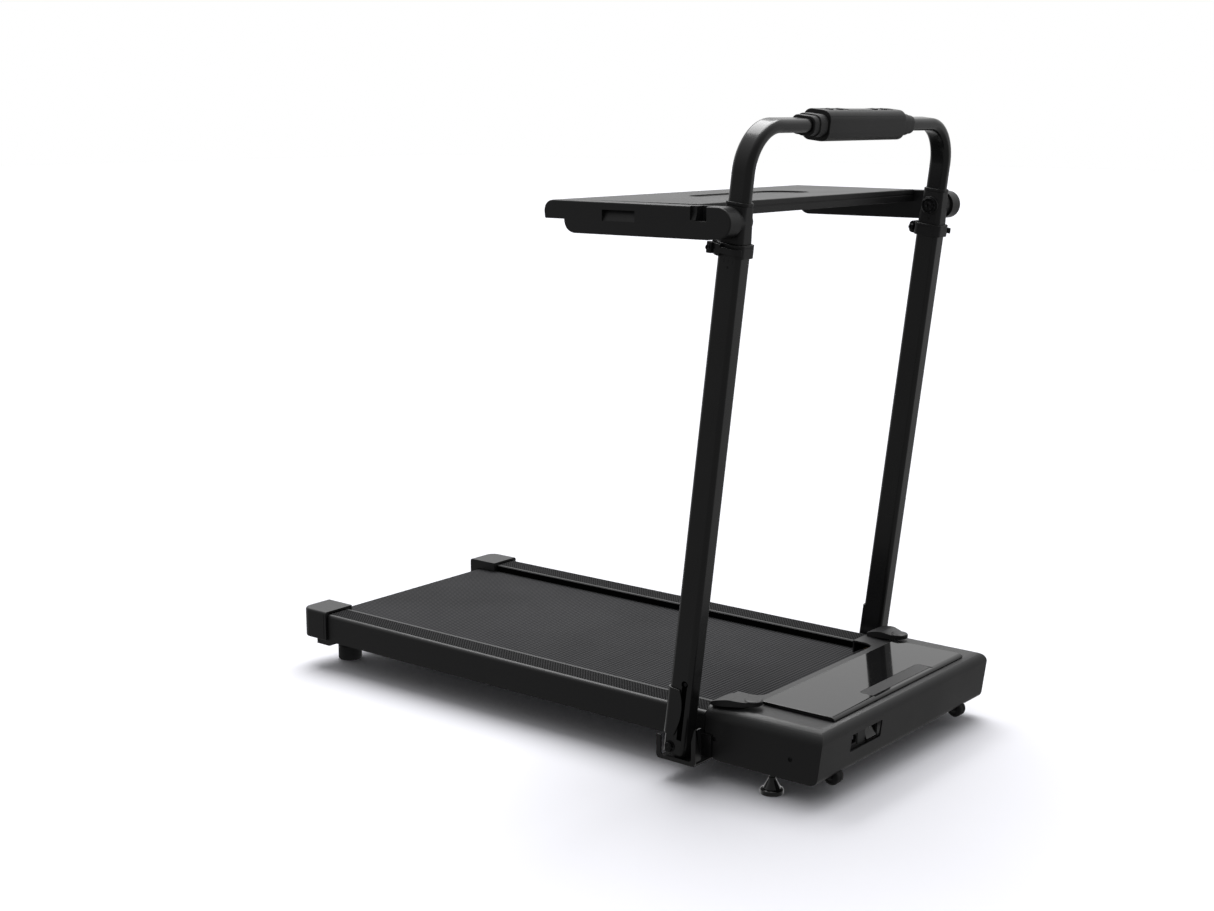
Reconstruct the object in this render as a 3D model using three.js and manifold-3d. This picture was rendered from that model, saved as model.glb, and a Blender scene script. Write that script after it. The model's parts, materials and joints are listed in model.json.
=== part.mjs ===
// Folding desk treadmill. Millimetres, +Z up, X across the deck, -Y towards the motor end.
// Origin: on the floor, under the middle of the machine.
import * as THREE from 'three';
import { mergeVertices } from 'three/addons/utils/BufferGeometryUtils.js';
import Module from 'manifold-3d';

const wasm = await Module();
wasm.setup();

// ---- driving dimensions -------------------------------------------------------------------
const GAP = 0.3;                       // running gap between touching pieces

// running deck
const RAIL_OUT = 285, RAIL_IN = 226.7; // half widths of the foot rails
const RAIL_TOP = 113, RAIL_BOTTOM = 57;
const RAIL_FRONT = -387, RAIL_REAR = 551;
const BELT_HALF = 231, BELT_TOP = 99, BELT_T = 2;
const ROLLER_R = 19.7, ROLLER_Z = 77;
const BELT_R = BELT_TOP - ROLLER_Z;    // outer radius where the belt turns
const FRONT_ROLLER_Y = -475, REAR_ROLLER_Y = 592.5;
const TUBE_IN = 256, TUBE_OUT = 280;   // side frame tubes
const TUBE_BOTTOM = 58, TUBE_TOP = 96;
const TUBE_FRONT = -560, TUBE_REAR = 612;
const SHAFT_R = 6, BORE_R = SHAFT_R + GAP;

// rear end caps
const CAP_IN = 217, CAP_OUT = 290, CAP_REAR = 623.5, CAP_TOP = 119;

// motor hood
const HOOD_HALF = 290, HOOD_WALL = 3, HOOD_TOP = 126, HOOD_BOTTOM = 33;
const HOOD_REAR = -391.5, HOOD_MOUTH = -440, HOOD_FRONT = -623.5;
const EAR_IN = 193;                    // the hood's side ears start here
const PANEL_HALF = 225, PANEL_REAR = -466, PANEL_FRONT = -606, PANEL_RISE = 7;
const INLET_X = -174, SWITCH_X = -117, RECESS_Z = 83;

// mast
const MAST_X = 319, LEAN = THREE.MathUtils.degToRad(6.79);
const PIVOT_Y = -351.5, PIVOT_Z = 58;  // fold pivot at the foot of the mast
const MAST_DY = -7;                    // tube centre from the pivot, in the mast's own frame
const MAST_W = 35, MAST_D = 44, MAST_R = 8, MAST_WALL = 2, MAST_TOP = 859.5;
const COLLAR_LOW = 838, COLLAR_HIGH = 860, CLAMP_Z = 849;
const BAR_W = 22, BAR_D = 38, BAR_WALL = 2, BAR_BEND = 74;
const BAR_Z = 1043, BAR_LOW = 640;
const CASTING_LOW = 860.4, CASTING_HIGH = 925;

// desk; it hinges on the mast tubes' centre line, HINGE_AT above the fold pivot
const HINGE_AT = 893.4, HINGE_R = 25;
const HINGE_Y = PIVOT_Y + MAST_DY * Math.cos(LEAN) - HINGE_AT * Math.sin(LEAN);
const HINGE_Z = PIVOT_Z + MAST_DY * Math.sin(LEAN) + HINGE_AT * Math.cos(LEAN);
const ARM_IN = 345, ARM_OUT = 375, DESK_TOP = 971, DESK_UNDER = 949;
const DESK_NOSE = -111.5, DESK_FRONT = -406.5;

// console
const CONSOLE_HALF = 124, SLEEVE_HALF = 164, CONSOLE_H = 51, CONSOLE_D = 54, BUTTON_R = 6.5;

const COARSE = 12, FINE = 24;          // segments in small and large circles

// ---- materials ----------------------------------------------------------------------------
const look = (color, roughness, metalness = 0) => () =>
  new THREE.MeshStandardMaterial({ color, roughness, metalness });
const paint = look(0x141416, 0.35, 0.3);
const satin = look(0x1b1b1d, 0.5);
const gloss = look(0x0c0c0e, 0.12);
const rubber = look(0x161616, 0.8);
const weave = look(0x2b2b2d, 0.75);
const steel = look(0x8b8d90, 0.35, 0.9);
const wood = look(0x4a3a2a, 0.7);

// ---- geometry helpers ---------------------------------------------------------------------
function solid(geometry) {
  const bare = geometry.clone();
  bare.deleteAttribute('normal');
  bare.deleteAttribute('uv');
  const merged = mergeVertices(bare, 1e-4);
  return new wasm.Manifold(new wasm.Mesh({
    numProp: 3,
    vertProperties: new Float32Array(merged.attributes.position.array),
    triVerts: new Uint32Array(merged.index.array),
  }));
}

function geometryOf(manifold) {
  const mesh = manifold.getMesh();
  const geometry = new THREE.BufferGeometry();
  geometry.setAttribute('position', new THREE.BufferAttribute(mesh.vertProperties, 3));
  geometry.setIndex(new THREE.BufferAttribute(mesh.triVerts, 1));
  geometry.computeVertexNormals();
  return geometry;
}

const cut = (body, ...tools) =>
  geometryOf(tools.reduce((rest, tool) => rest.subtract(solid(tool)), solid(body)));
const join = (body, ...more) =>
  geometryOf(more.reduce((whole, piece) => whole.add(solid(piece)), solid(body)));
const common = (body, other) => geometryOf(solid(body).intersect(solid(other)));

function box(x0, x1, y0, y1, z0, z1) {
  return new THREE.BoxGeometry(x1 - x0, y1 - y0, z1 - z0)
    .translate((x0 + x1) / 2, (y0 + y1) / 2, (z0 + z1) / 2);
}

// a rod along X between x0 and x1
function rodX(radius, x0, x1, y, z, segments = FINE) {
  return new THREE.CylinderGeometry(radius, radius, x1 - x0, segments)
    .rotateZ(Math.PI / 2).translate((x0 + x1) / 2, y, z);
}

// a rod along Z between z0 and z1
function rodZ(radius, z0, z1, x, y, segments = COARSE) {
  return new THREE.CylinderGeometry(radius, radius, z1 - z0, segments)
    .rotateX(Math.PI / 2).translate(x, y, (z0 + z1) / 2);
}

// a closed outline in (Y, Z), given thickness along X
function slabX(outline, x0, x1, curveSegments = 6) {
  return new THREE.ExtrudeGeometry(outline, { depth: x1 - x0, bevelEnabled: false, curveSegments })
    .rotateX(Math.PI / 2).rotateZ(Math.PI / 2).translate(x0, 0, 0);
}

// a closed outline in (X, Z), given length along Y
function slabY(outline, y0, y1, curveSegments = 4) {
  return new THREE.ExtrudeGeometry(outline, { depth: y1 - y0, bevelEnabled: false, curveSegments })
    .rotateX(Math.PI / 2).translate(0, y1, 0);
}

// a closed outline in (X, Y), given height along Z
function slabZ(outline, z0, z1, curveSegments = 4) {
  return new THREE.ExtrudeGeometry(outline, { depth: z1 - z0, bevelEnabled: false, curveSegments })
    .translate(0, 0, z0);
}

// rectangle with round corners, as a Shape or (for holes) a Path
function roundedRect(width, height, radius, Kind = THREE.Shape, cx = 0, cy = 0) {
  const x = width / 2, y = height / 2, r = radius;
  const outline = new Kind();
  outline.moveTo(cx - x + r, cy - y);
  outline.lineTo(cx + x - r, cy - y);
  outline.absarc(cx + x - r, cy - y + r, r, -Math.PI / 2, 0);
  outline.lineTo(cx + x, cy + y - r);
  outline.absarc(cx + x - r, cy + y - r, r, 0, Math.PI / 2);
  outline.lineTo(cx - x + r, cy + y);
  outline.absarc(cx - x + r, cy + y - r, r, Math.PI / 2, Math.PI);
  outline.lineTo(cx - x, cy - y + r);
  outline.absarc(cx - x + r, cy - y + r, r, Math.PI, 1.5 * Math.PI);
  return outline;
}

function polygon(...points) {
  return new THREE.Shape(points.map(([u, v]) => new THREE.Vector2(u, v)));
}

// loop around two equal circles on a line at height z, in (Y, Z)
function loopOutline(y0, y1, z, radius, Kind = THREE.Shape) {
  const outline = new Kind();
  outline.moveTo(y0, z - radius);
  outline.lineTo(y1, z - radius);
  outline.absarc(y1, z, radius, -Math.PI / 2, Math.PI / 2);
  outline.lineTo(y0, z + radius);
  outline.absarc(y0, z, radius, Math.PI / 2, 1.5 * Math.PI);
  return outline;
}

const mirrorX = (geometry) => {
  const flat = geometry.index ? geometry.toNonIndexed() : geometry.clone();
  const flipped = flat.scale(-1, 1, 1);
  const position = flipped.attributes.position;
  const swap = new THREE.Vector3(), keep = new THREE.Vector3();
  for (let i = 0; i < position.count; i += 3) {
    swap.fromBufferAttribute(position, i + 1);
    keep.fromBufferAttribute(position, i + 2);
    position.setXYZ(i + 1, keep.x, keep.y, keep.z);
    position.setXYZ(i + 2, swap.x, swap.y, swap.z);
  }
  return geometryOf(solid(flipped));
};

// ---- scene graph helpers ------------------------------------------------------------------
const treadmill = new THREE.Group();
const mast = new THREE.Group();        // leans with the two mast tubes, origin on the fold pivot
mast.position.set(0, PIVOT_Y, PIVOT_Z);
mast.rotation.x = LEAN;
treadmill.add(mast);

function add(group, name, geometry, material) {
  const mesh = new THREE.Mesh(geometry, material());
  mesh.name = name;
  group.add(mesh);
}

// the same piece on the right (+X, as drawn) and mirrored on the left
function addPair(group, name, geometry, material) {
  add(group, `right_${name}`, geometry, material);
  add(group, `left_${name}`, mirrorX(geometry), material);
}

// ---- running deck -------------------------------------------------------------------------
function sideFrame() {
  const width = TUBE_OUT - TUBE_IN, height = TUBE_TOP - TUBE_BOTTOM;
  const x = (TUBE_IN + TUBE_OUT) / 2, z = (TUBE_BOTTOM + TUBE_TOP) / 2;
  const section = roundedRect(width, height, 2, THREE.Shape, x, z);
  section.holes.push(roundedRect(width - 4, height - 4, 1, THREE.Path, x, z));
  const tube = slabY(section, TUBE_FRONT, TUBE_REAR, 2);
  return cut(tube,
    rodX(BORE_R, TUBE_IN - 1, TUBE_IN + 4, FRONT_ROLLER_Y, ROLLER_Z, COARSE),
    rodX(BORE_R, TUBE_IN - 1, TUBE_IN + 4, REAR_ROLLER_Y, ROLLER_Z, COARSE));
}

function rail() {
  const skin = 3, lip = BELT_TOP + 0.8, round = 9;
  const outline = new THREE.Shape();
  outline.moveTo(RAIL_OUT, RAIL_BOTTOM);
  outline.lineTo(RAIL_OUT, RAIL_TOP - round);
  outline.quadraticCurveTo(RAIL_OUT, RAIL_TOP, RAIL_OUT - round, RAIL_TOP);
  outline.lineTo(RAIL_IN, RAIL_TOP);
  outline.lineTo(RAIL_IN, lip);
  outline.lineTo(RAIL_IN + skin, lip);
  outline.lineTo(RAIL_IN + skin, RAIL_TOP - skin);
  outline.lineTo(RAIL_OUT - round, RAIL_TOP - skin);
  outline.quadraticCurveTo(RAIL_OUT - skin, RAIL_TOP - skin, RAIL_OUT - skin, RAIL_TOP - round);
  outline.lineTo(RAIL_OUT - skin, RAIL_BOTTOM);
  return slabY(outline, RAIL_FRONT, RAIL_REAR);
}

function runningBelt() {
  const loop = loopOutline(FRONT_ROLLER_Y, REAR_ROLLER_Y, ROLLER_Z, BELT_R);
  loop.holes.push(loopOutline(FRONT_ROLLER_Y, REAR_ROLLER_Y, ROLLER_Z, BELT_R - BELT_T, THREE.Path));
  return slabX(loop, -BELT_HALF, BELT_HALF, 16);
}

// roller with its shaft; the driven one carries a pulley between belt and frame
function roller(y, pulleyR) {
  const drum = join(
    rodX(ROLLER_R, -BELT_HALF, BELT_HALF, y, ROLLER_Z, 36),
    rodX(SHAFT_R, -TUBE_OUT + 6, TUBE_OUT - 6, y, ROLLER_Z));
  return pulleyR ? join(drum, rodX(pulleyR, 238, 252, y, ROLLER_Z)) : drum;
}

function rearCap() {
  const round = 22;
  const plan = new THREE.Shape();
  plan.moveTo(CAP_IN, RAIL_REAR + 0.5);
  plan.lineTo(CAP_OUT, RAIL_REAR + 0.5);
  plan.lineTo(CAP_OUT, CAP_REAR - round);
  plan.quadraticCurveTo(CAP_OUT, CAP_REAR, CAP_OUT - round, CAP_REAR);
  plan.lineTo(CAP_IN, CAP_REAR);
  const beltClear = loopOutline(RAIL_REAR - 10, REAR_ROLLER_Y, ROLLER_Z, BELT_R + 1.5);
  return cut(slabZ(plan, TUBE_BOTTOM + 1, CAP_TOP, 8),
    slabX(beltClear, CAP_IN - 1, BELT_HALF + 4, 12),
    box(BELT_HALF + 3, TUBE_OUT + 1, RAIL_REAR - 1, TUBE_REAR + 1.5, TUBE_BOTTOM, CAP_TOP - 4));
}

const REAR_FOOT_X = 207, REAR_FOOT_Y = 571, REAR_BAR_Z = 46;
function rearFoot() {
  const profile = [[0, 0], [21, 0], [24, 3], [24, 30], [22, 32], [22, REAR_BAR_Z - GAP], [0, REAR_BAR_Z - GAP]];
  return new THREE.LatheGeometry(profile.map(([r, z]) => new THREE.Vector2(r, z)), FINE)
    .rotateX(Math.PI / 2).translate(REAR_FOOT_X, REAR_FOOT_Y, 0);
}

function buildDeck() {
  const across = TUBE_IN - GAP, inside = BELT_TOP - BELT_T - 0.7;
  addPair(treadmill, 'side_frame', sideFrame(), paint);
  addPair(treadmill, 'foot_rail', rail(), satin);
  addPair(treadmill, 'rear_cap', rearCap(), satin);
  addPair(treadmill, 'rear_foot', rearFoot(), rubber);
  for (const [name, y] of [['front_crossmember', -410], ['middle_crossmember', 480]]) {
    const section = roundedRect(36, 19, 2, THREE.Shape, y, 68.2);
    section.holes.push(roundedRect(32, 15, 1, THREE.Path, y, 68.2));
    add(treadmill, name, slabX(section, -across, across, 2), paint);
  }
  const barFront = REAR_FOOT_Y - 18, barRear = REAR_FOOT_Y + 18;
  add(treadmill, 'rear_crossmember', join(
    box(-TUBE_OUT, TUBE_OUT, barFront, barRear, REAR_BAR_Z, REAR_BAR_Z + 8),
    box(236, TUBE_OUT, barFront, barRear, REAR_BAR_Z, TUBE_BOTTOM - GAP),
    box(-TUBE_OUT, -236, barFront, barRear, REAR_BAR_Z, TUBE_BOTTOM - GAP)), paint);
  add(treadmill, 'deck_board', box(-across, across, -440, 560, inside - 18, inside), wood);
  add(treadmill, 'running_belt', runningBelt(), weave);
  add(treadmill, 'front_roller', roller(FRONT_ROLLER_Y, 19), steel);
  add(treadmill, 'rear_roller', roller(REAR_ROLLER_Y, 0), steel);
}

// ---- motor end ----------------------------------------------------------------------------
const MOTOR_Y = -556, MOTOR_Z = 77, MOTOR_R = 31, MOTOR_PULLEY_R = 13;

// side profile of the hood in (Y, Z), drawn `inset` inside its outer face
function hoodProfile(inset) {
  const top = HOOD_TOP - inset, rear = HOOD_REAR - inset, front = HOOD_FRONT + inset;
  const low = HOOD_BOTTOM + inset - (inset ? 20 : 0);
  const outline = new THREE.Shape();
  outline.moveTo(-425, low);
  outline.quadraticCurveTo(rear, low, rear, 66 + inset);
  outline.lineTo(rear, top);
  outline.lineTo(front + 22, top);
  outline.quadraticCurveTo(front, top, front, 107);
  outline.lineTo(front + 8, 46);
  outline.quadraticCurveTo(front + 10, low, front + 28, low);
  return outline;
}

function motorHood() {
  const edge = 24;                     // rounding of the long top edges
  const outer = common(slabX(hoodProfile(0), -HOOD_HALF, HOOD_HALF, 8),
    slabY(roundedRect(2 * HOOD_HALF, 240, edge, THREE.Shape, 0, HOOD_TOP - 120), -640, -380, 6));
  const inner = slabX(hoodProfile(HOOD_WALL), -HOOD_HALF + HOOD_WALL, HOOD_HALF - HOOD_WALL, 8);
  const room = common(inner,
    slabY(roundedRect(2 * (HOOD_HALF - HOOD_WALL), 240, edge - 3, THREE.Shape, 0,
      HOOD_TOP - 123), -640, -380, 4));
  const mouth = new THREE.Shape();     // plan of the open rear between the ears
  mouth.moveTo(-EAR_IN, -380);
  mouth.lineTo(-EAR_IN, HOOD_MOUTH + 30);
  mouth.quadraticCurveTo(-EAR_IN, HOOD_MOUTH, -EAR_IN + 22, HOOD_MOUTH);
  mouth.lineTo(EAR_IN - 22, HOOD_MOUTH);
  mouth.quadraticCurveTo(EAR_IN, HOOD_MOUTH, EAR_IN, HOOD_MOUTH + 30);
  mouth.lineTo(EAR_IN, -380);
  return cut(outer, room, slabZ(mouth, 0, 150, 6),
    box(-TUBE_OUT - 1, TUBE_OUT + 1, -400, -380, 0, BELT_TOP + 3),
    box(-HOOD_HALF + HOOD_WALL, HOOD_HALF - HOOD_WALL, -594, -425, 0, 40),
    box(INLET_X - 19, SWITCH_X + 24, -640, -580, RECESS_Z - 16, RECESS_Z + 15),
    ...wheelWells());
}

const WHEEL_X = 216, WHEEL_Y = -601.5, WHEEL_Z = 30, WHEEL_R = 15;
const wheelWells = () => [-WHEEL_X, WHEEL_X].map((x) =>
  rodX(WHEEL_R + 2, x - 10.2, x + 10.2, WHEEL_Y, WHEEL_Z));

function buildMotorEnd() {
  add(treadmill, 'motor_hood', motorHood(), satin);
  const wedge = polygon([PANEL_REAR, HOOD_TOP + GAP], [PANEL_FRONT, HOOD_TOP + GAP],
    [PANEL_FRONT + 3, HOOD_TOP + PANEL_RISE - 1.5], [PANEL_FRONT + 8, HOOD_TOP + PANEL_RISE],
    [PANEL_REAR + 4, HOOD_TOP + PANEL_RISE - 1], [PANEL_REAR, HOOD_TOP + 3]);
  add(treadmill, 'hood_top_panel', slabX(wedge, -PANEL_HALF, PANEL_HALF), gloss);
  const pan = box(-286.5, 286.5, -593.5, -427, HOOD_BOTTOM + 0.5, HOOD_BOTTOM + 3);
  add(treadmill, 'belly_pan', cut(pan, ...wheelWells()), paint);
  add(treadmill, 'drive_motor', join(rodX(MOTOR_R, 20, 222, MOTOR_Y, MOTOR_Z),
    box(40, 200, MOTOR_Y - 22, MOTOR_Y + 22, HOOD_BOTTOM + 3.3, MOTOR_Z)), paint);
  add(treadmill, 'motor_pulley', join(rodX(MOTOR_PULLEY_R, 238, 252, MOTOR_Y, MOTOR_Z),
    rodX(5, 222 + GAP, 240, MOTOR_Y, MOTOR_Z, COARSE)), steel);
  add(treadmill, 'drive_belt', driveBelt(), rubber);
  add(treadmill, 'motor_controller', box(-250, -20, -580, -506, HOOD_BOTTOM + 3.3, 100), paint);
  buildPowerSocket();
  buildTransportWheels();
  buildLevellingFeet();
  buildReleasePedals();
}

// flat belt around the motor pulley and the roller pulley
function driveBelt() {
  const radius = 19 + GAP, thick = 2.5, small = MOTOR_PULLEY_R + GAP;
  const around = (extra) => {
    const gapY = FRONT_ROLLER_Y - MOTOR_Y;
    const tilt = Math.asin((radius - small) / gapY);
    const outline = new THREE.Shape();
    outline.absarc(FRONT_ROLLER_Y, ROLLER_Z, radius + extra, -Math.PI / 2 - tilt, Math.PI / 2 + tilt);
    outline.absarc(MOTOR_Y, MOTOR_Z, small + extra, Math.PI / 2 + tilt, 1.5 * Math.PI - tilt);
    return outline;
  };
  return cut(slabX(around(thick), 240, 250, 12), slabX(around(0), 239, 251, 12));
}

// power inlet with its three blades, and the rocker switch beside it, in the hood's front recess
function buildPowerSocket() {
  const face = -612, low = RECESS_Z - 15.5;
  const shell = box(INLET_X - 18.5, SWITCH_X + 23.5, face, face + 24, low, RECESS_Z + 14.5);
  const cavity = box(INLET_X - 12, INLET_X + 12, face - 1, face + 17, RECESS_Z - 8, RECESS_Z + 8);
  const well = box(SWITCH_X - 17, SWITCH_X + 17, face - 1, face + 16, RECESS_Z - 14, RECESS_Z + 13);
  const blades = [-7, 0, 7].map((x) =>
    box(INLET_X + x - 1, INLET_X + x + 1, face + 4, face + 18, RECESS_Z - 3, RECESS_Z + 3));
  add(treadmill, 'power_socket', join(cut(shell, cavity, well), ...blades), satin);
  const rocker = polygon([face + 8, RECESS_Z - 11], [face + 8, RECESS_Z + 11], [face + 1, RECESS_Z + 11],
    [face + 2.5, RECESS_Z], [face - 3, RECESS_Z - 11]);
  add(treadmill, 'rocker_switch', slabX(rocker, SWITCH_X - 16, SWITCH_X + 16), gloss);
}

// small fixed castors that meet the floor when the motor end is tipped
function buildTransportWheels() {
  const [x, y, z] = [WHEEL_X, WHEEL_Y, WHEEL_Z];
  const cheek = polygon([y - 5, z - 5], [y + 3, z - 5], [y + 24, 29.5], [y + 24, 33], [y + 2, 33], [y - 5, z + 2]);
  const cheeks = [-12, 12].map((side) => slabX(cheek, x + side - 1.5, x + side + 1.5));
  const bracket = join(box(x - 13.5, x + 13.5, y + 20, y + 24, 29.5, 33), ...cheeks);
  addPair(treadmill, 'caster_bracket', cut(bracket, rodX(3.3, x - 20, x + 20, y, z, COARSE)), paint);
  addPair(treadmill, 'caster_wheel', join(rodX(WHEEL_R, x - 9.5, x + 9.5, y, z),
    rodX(3, x - 13.2, x + 13.2, y, z, COARSE)), rubber);
}

function buildLevellingFeet() {
  const profile = [[0, 0], [18, 0], [20, 2], [20, 8], [17, 10], [6, 26], [5, 32.6], [0, 32.6]];
  const foot = new THREE.LatheGeometry(profile.map(([r, z]) => new THREE.Vector2(r, z)), FINE)
    .rotateX(Math.PI / 2).translate(282, -523.5, 0);
  addPair(treadmill, 'levelling_foot', foot, rubber);
}

// foot pedals on the hood's ears that free the mast; pivot across the pointed rear end
const PEDAL_Y = -402, PEDAL_Z = 126.6;
function buildReleasePedals() {
  const plan = new THREE.Shape();
  plan.moveTo(282, -396);
  plan.quadraticCurveTo(284, -430, 263, -461);
  plan.absarc(247, -461, 16, 0, -Math.PI, true);
  plan.quadraticCurveTo(228, -430, 234, -397);
  plan.quadraticCurveTo(258, -390, 282, -396);
  const side = new THREE.Shape();      // rises from a thin rear edge to a raised toe pad
  side.moveTo(-390, PEDAL_Z);
  side.quadraticCurveTo(-405, 138, -430, 140.5);
  side.lineTo(-470, 140.5);
  side.quadraticCurveTo(-478, 140.5, -478, 136);
  side.lineTo(-478, 132.4);
  side.lineTo(PEDAL_Y, PEDAL_Z);
  const pedal = common(slabZ(plan, 120, 150, 6), slabX(side, 200, 290, 6));
  addPair(treadmill, 'release_pedal', pedal, satin);
}

// ---- mast foot ----------------------------------------------------------------------------
const CHEEK_OUT = 343;                 // outer face of the base brackets
function baseBracket() {
  const inner = 291, outer = CHEEK_OUT, plate = 3, low = 35, high = 77, tall = 100, round = 9;
  const front = -410, rear = -328, lip = 7, post = 9;
  const side = new THREE.Shape();      // outer rim with rounded bottom corners, open to the tube
  side.moveTo(rear - round, low);
  side.quadraticCurveTo(rear, low, rear, low + round);
  side.lineTo(rear, high);
  side.lineTo(rear - post, high);
  side.lineTo(rear - post, low + lip);
  side.lineTo(front + post, low + lip);
  side.lineTo(front + post, high);
  side.lineTo(front + plate, tall);
  side.lineTo(front, tall);
  side.lineTo(front, low + round);
  side.quadraticCurveTo(front, low, front + round, low);
  const whole = join(slabX(side, outer - plate, outer),
    box(inner, inner + plate, -407, -330, low, high),
    box(outer - 16, outer, front, front + plate, low + round, tall),
    box(245, outer - 4, -407, -330, low, low + plate),
    box(outer - 6, outer, front + round, rear - round, low, low + plate),
    box(245, 279, -386, -330, low, TUBE_BOTTOM - GAP));
  return cut(whole, rodX(5 + GAP, 280, 350, PIVOT_Y, PIVOT_Z, COARSE),
    box(240, 290.5, -410, -387, low - 1, low + 4));
}

function buildMastFoot() {
  addPair(treadmill, 'base_bracket', baseBracket(), paint);
  const face = MAST_X + MAST_W / 2;    // the bolt's head rests on the tube's outer side
  addPair(treadmill, 'pivot_bolt', join(rodX(5, 290.6, face + 1, PIVOT_Y, PIVOT_Z, COARSE),
    rodX(9, face + GAP, face + 5, PIVOT_Y, PIVOT_Z, 6)), steel);
}

// ---- mast: tubes, collars and clamps, drawn in the mast's own leaning frame ---------------
function hollow(width, depth, wall, radius, x, y) {
  const section = roundedRect(width, depth, radius, THREE.Shape, x, y);
  section.holes.push(roundedRect(width - 2 * wall, depth - 2 * wall, radius - wall, THREE.Path, x, y));
  return section;
}

function mastTube() {
  const slot = slabX(polygon([-22, 16], [-22, 115], [-12, 115], [-12, 16]), MAST_X + 10, MAST_X + 20);
  return cut(slabZ(hollow(MAST_W, MAST_D, MAST_WALL, MAST_R, MAST_X, MAST_DY), -12, MAST_TOP, 5),
    rodX(5 + GAP, MAST_X - 25, MAST_X + 25, 0, 0, COARSE), slot,
    rodX(6.5, MAST_X + 10, MAST_X + 20, -16.5, 117, COARSE));
}

// thin cover around the rear and outer side of the tube's foot; its front edge bulges
function footShroud() {
  const w = MAST_W + 2 * GAP, d = MAST_D + 2 * GAP;
  const front = new THREE.Shape();
  front.moveTo(-60, 0);
  front.lineTo(-6, 0);
  front.lineTo(-6, 22);
  front.quadraticCurveTo(-27, 70, -9, 106);
  front.lineTo(-9, 120);
  front.lineTo(-60, 120);
  const wrap = cut(slabZ(roundedRect(w + 5, d + 5, MAST_R + 2, THREE.Shape, MAST_X, MAST_DY), 22, 106, 4),
    slabZ(roundedRect(w, d, MAST_R, THREE.Shape, MAST_X, MAST_DY), 20, 110, 5),
    slabX(front, MAST_X - 30, MAST_X + 30, 6));
  return cut(wrap, box(MAST_X - 30, MAST_X - 17.8, -60, 60, 0, 120));
}

const LEVER_X = MAST_X + 19, LEVER_Y = 27;
function clampCollar() {
  const ring = roundedRect(MAST_W + 9, MAST_D + 9, MAST_R + 3, THREE.Shape, MAST_X, MAST_DY);
  const lugs = box(MAST_X - 9, MAST_X + 9, 15, LEVER_Y + 7, COLLAR_LOW, COLLAR_HIGH);
  return cut(join(slabZ(ring, COLLAR_LOW, COLLAR_HIGH, 6), lugs),
    slabZ(roundedRect(MAST_W + 2 * GAP, MAST_D + 2 * GAP, MAST_R, THREE.Shape, MAST_X, MAST_DY), 800, 900, 6),
    box(MAST_X - 1.5, MAST_X + 1.5, 10, 60, 800, 900),
    rodX(3 + GAP, MAST_X - 20, MAST_X + 20, LEVER_Y, CLAMP_Z, COARSE));
}

function clampLever() {
  const outline = new THREE.Shape();
  outline.absarc(LEVER_X, LEVER_Y, 6, -Math.PI / 2, Math.PI);
  outline.quadraticCurveTo(LEVER_X + 1, LEVER_Y - 8, MAST_X + 24, 8);
  outline.lineTo(MAST_X + 24, -18);
  outline.quadraticCurveTo(MAST_X + 24, -28, MAST_X + 19, -33);
  outline.lineTo(MAST_X + 23, -36);
  outline.quadraticCurveTo(MAST_X + 29, -30, MAST_X + 29, -18);
  outline.lineTo(MAST_X + 29, 10);
  return slabZ(outline, COLLAR_LOW + 2, COLLAR_HIGH - 2, 6);
}

function buildMast() {
  addPair(mast, 'upright', mastTube(), paint);
  addPair(mast, 'foot_shroud', footShroud(), satin);
  addPair(mast, 'clamp_collar', clampCollar(), satin);
  addPair(mast, 'clamp_bolt', join(rodX(3, MAST_X - 16, MAST_X + 12.5, LEVER_Y, CLAMP_Z, COARSE),
    rodX(6, MAST_X - 17, MAST_X - 9 - GAP, LEVER_Y, CLAMP_Z, COARSE)), steel);
  addPair(mast, 'clamp_lever', clampLever(), satin);
}

// ---- handlebar ----------------------------------------------------------------------------
const BEND_STEPS = 7;
// centre line of the bent bar; uniform steps land on the ends of its straights and on its bends
class BarPath extends THREE.Curve {
  constructor() {
    super();
    this.stations = [[-MAST_X, BAR_LOW, 0]];
    for (const side of [-1, 1]) {
      for (let i = 0; i <= BEND_STEPS; i += 1) {
        const turn = (Math.PI / 2) * (side < 0 ? i / BEND_STEPS : 1 - i / BEND_STEPS);
        const x = side * (MAST_X - BAR_BEND + BAR_BEND * Math.cos(turn));
        this.stations.push([x, BAR_Z - BAR_BEND + BAR_BEND * Math.sin(turn), turn]);
      }
    }
    this.stations.push([MAST_X, BAR_LOW, 0]);
  }

  getPointAt(u, target = new THREE.Vector3()) {
    const [x, z] = this.stations[Math.round(u * (this.stations.length - 1))];
    return target.set(x, MAST_DY, z);
  }

  getTangentAt(u, target = new THREE.Vector3()) {
    const [x, , turn] = this.stations[Math.round(u * (this.stations.length - 1))];
    return target.set(Math.sin(turn), 0, x < 0 ? Math.cos(turn) : -Math.cos(turn));
  }

  getPoint(t, target) {
    return this.getPointAt(t, target);
  }
}

function handlebar() {
  const path = new BarPath();
  const bar = new THREE.ExtrudeGeometry(hollow(BAR_D, BAR_W, BAR_WALL, 9, 0, 0),
    { extrudePath: path, steps: path.stations.length - 1, curveSegments: 3 });
  return cut(bar, ...[-1, 1].map((side) =>
    rodX(BORE_R, side * MAST_X - 25, side * MAST_X + 25, MAST_DY, HINGE_AT, COARSE)));
}

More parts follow.
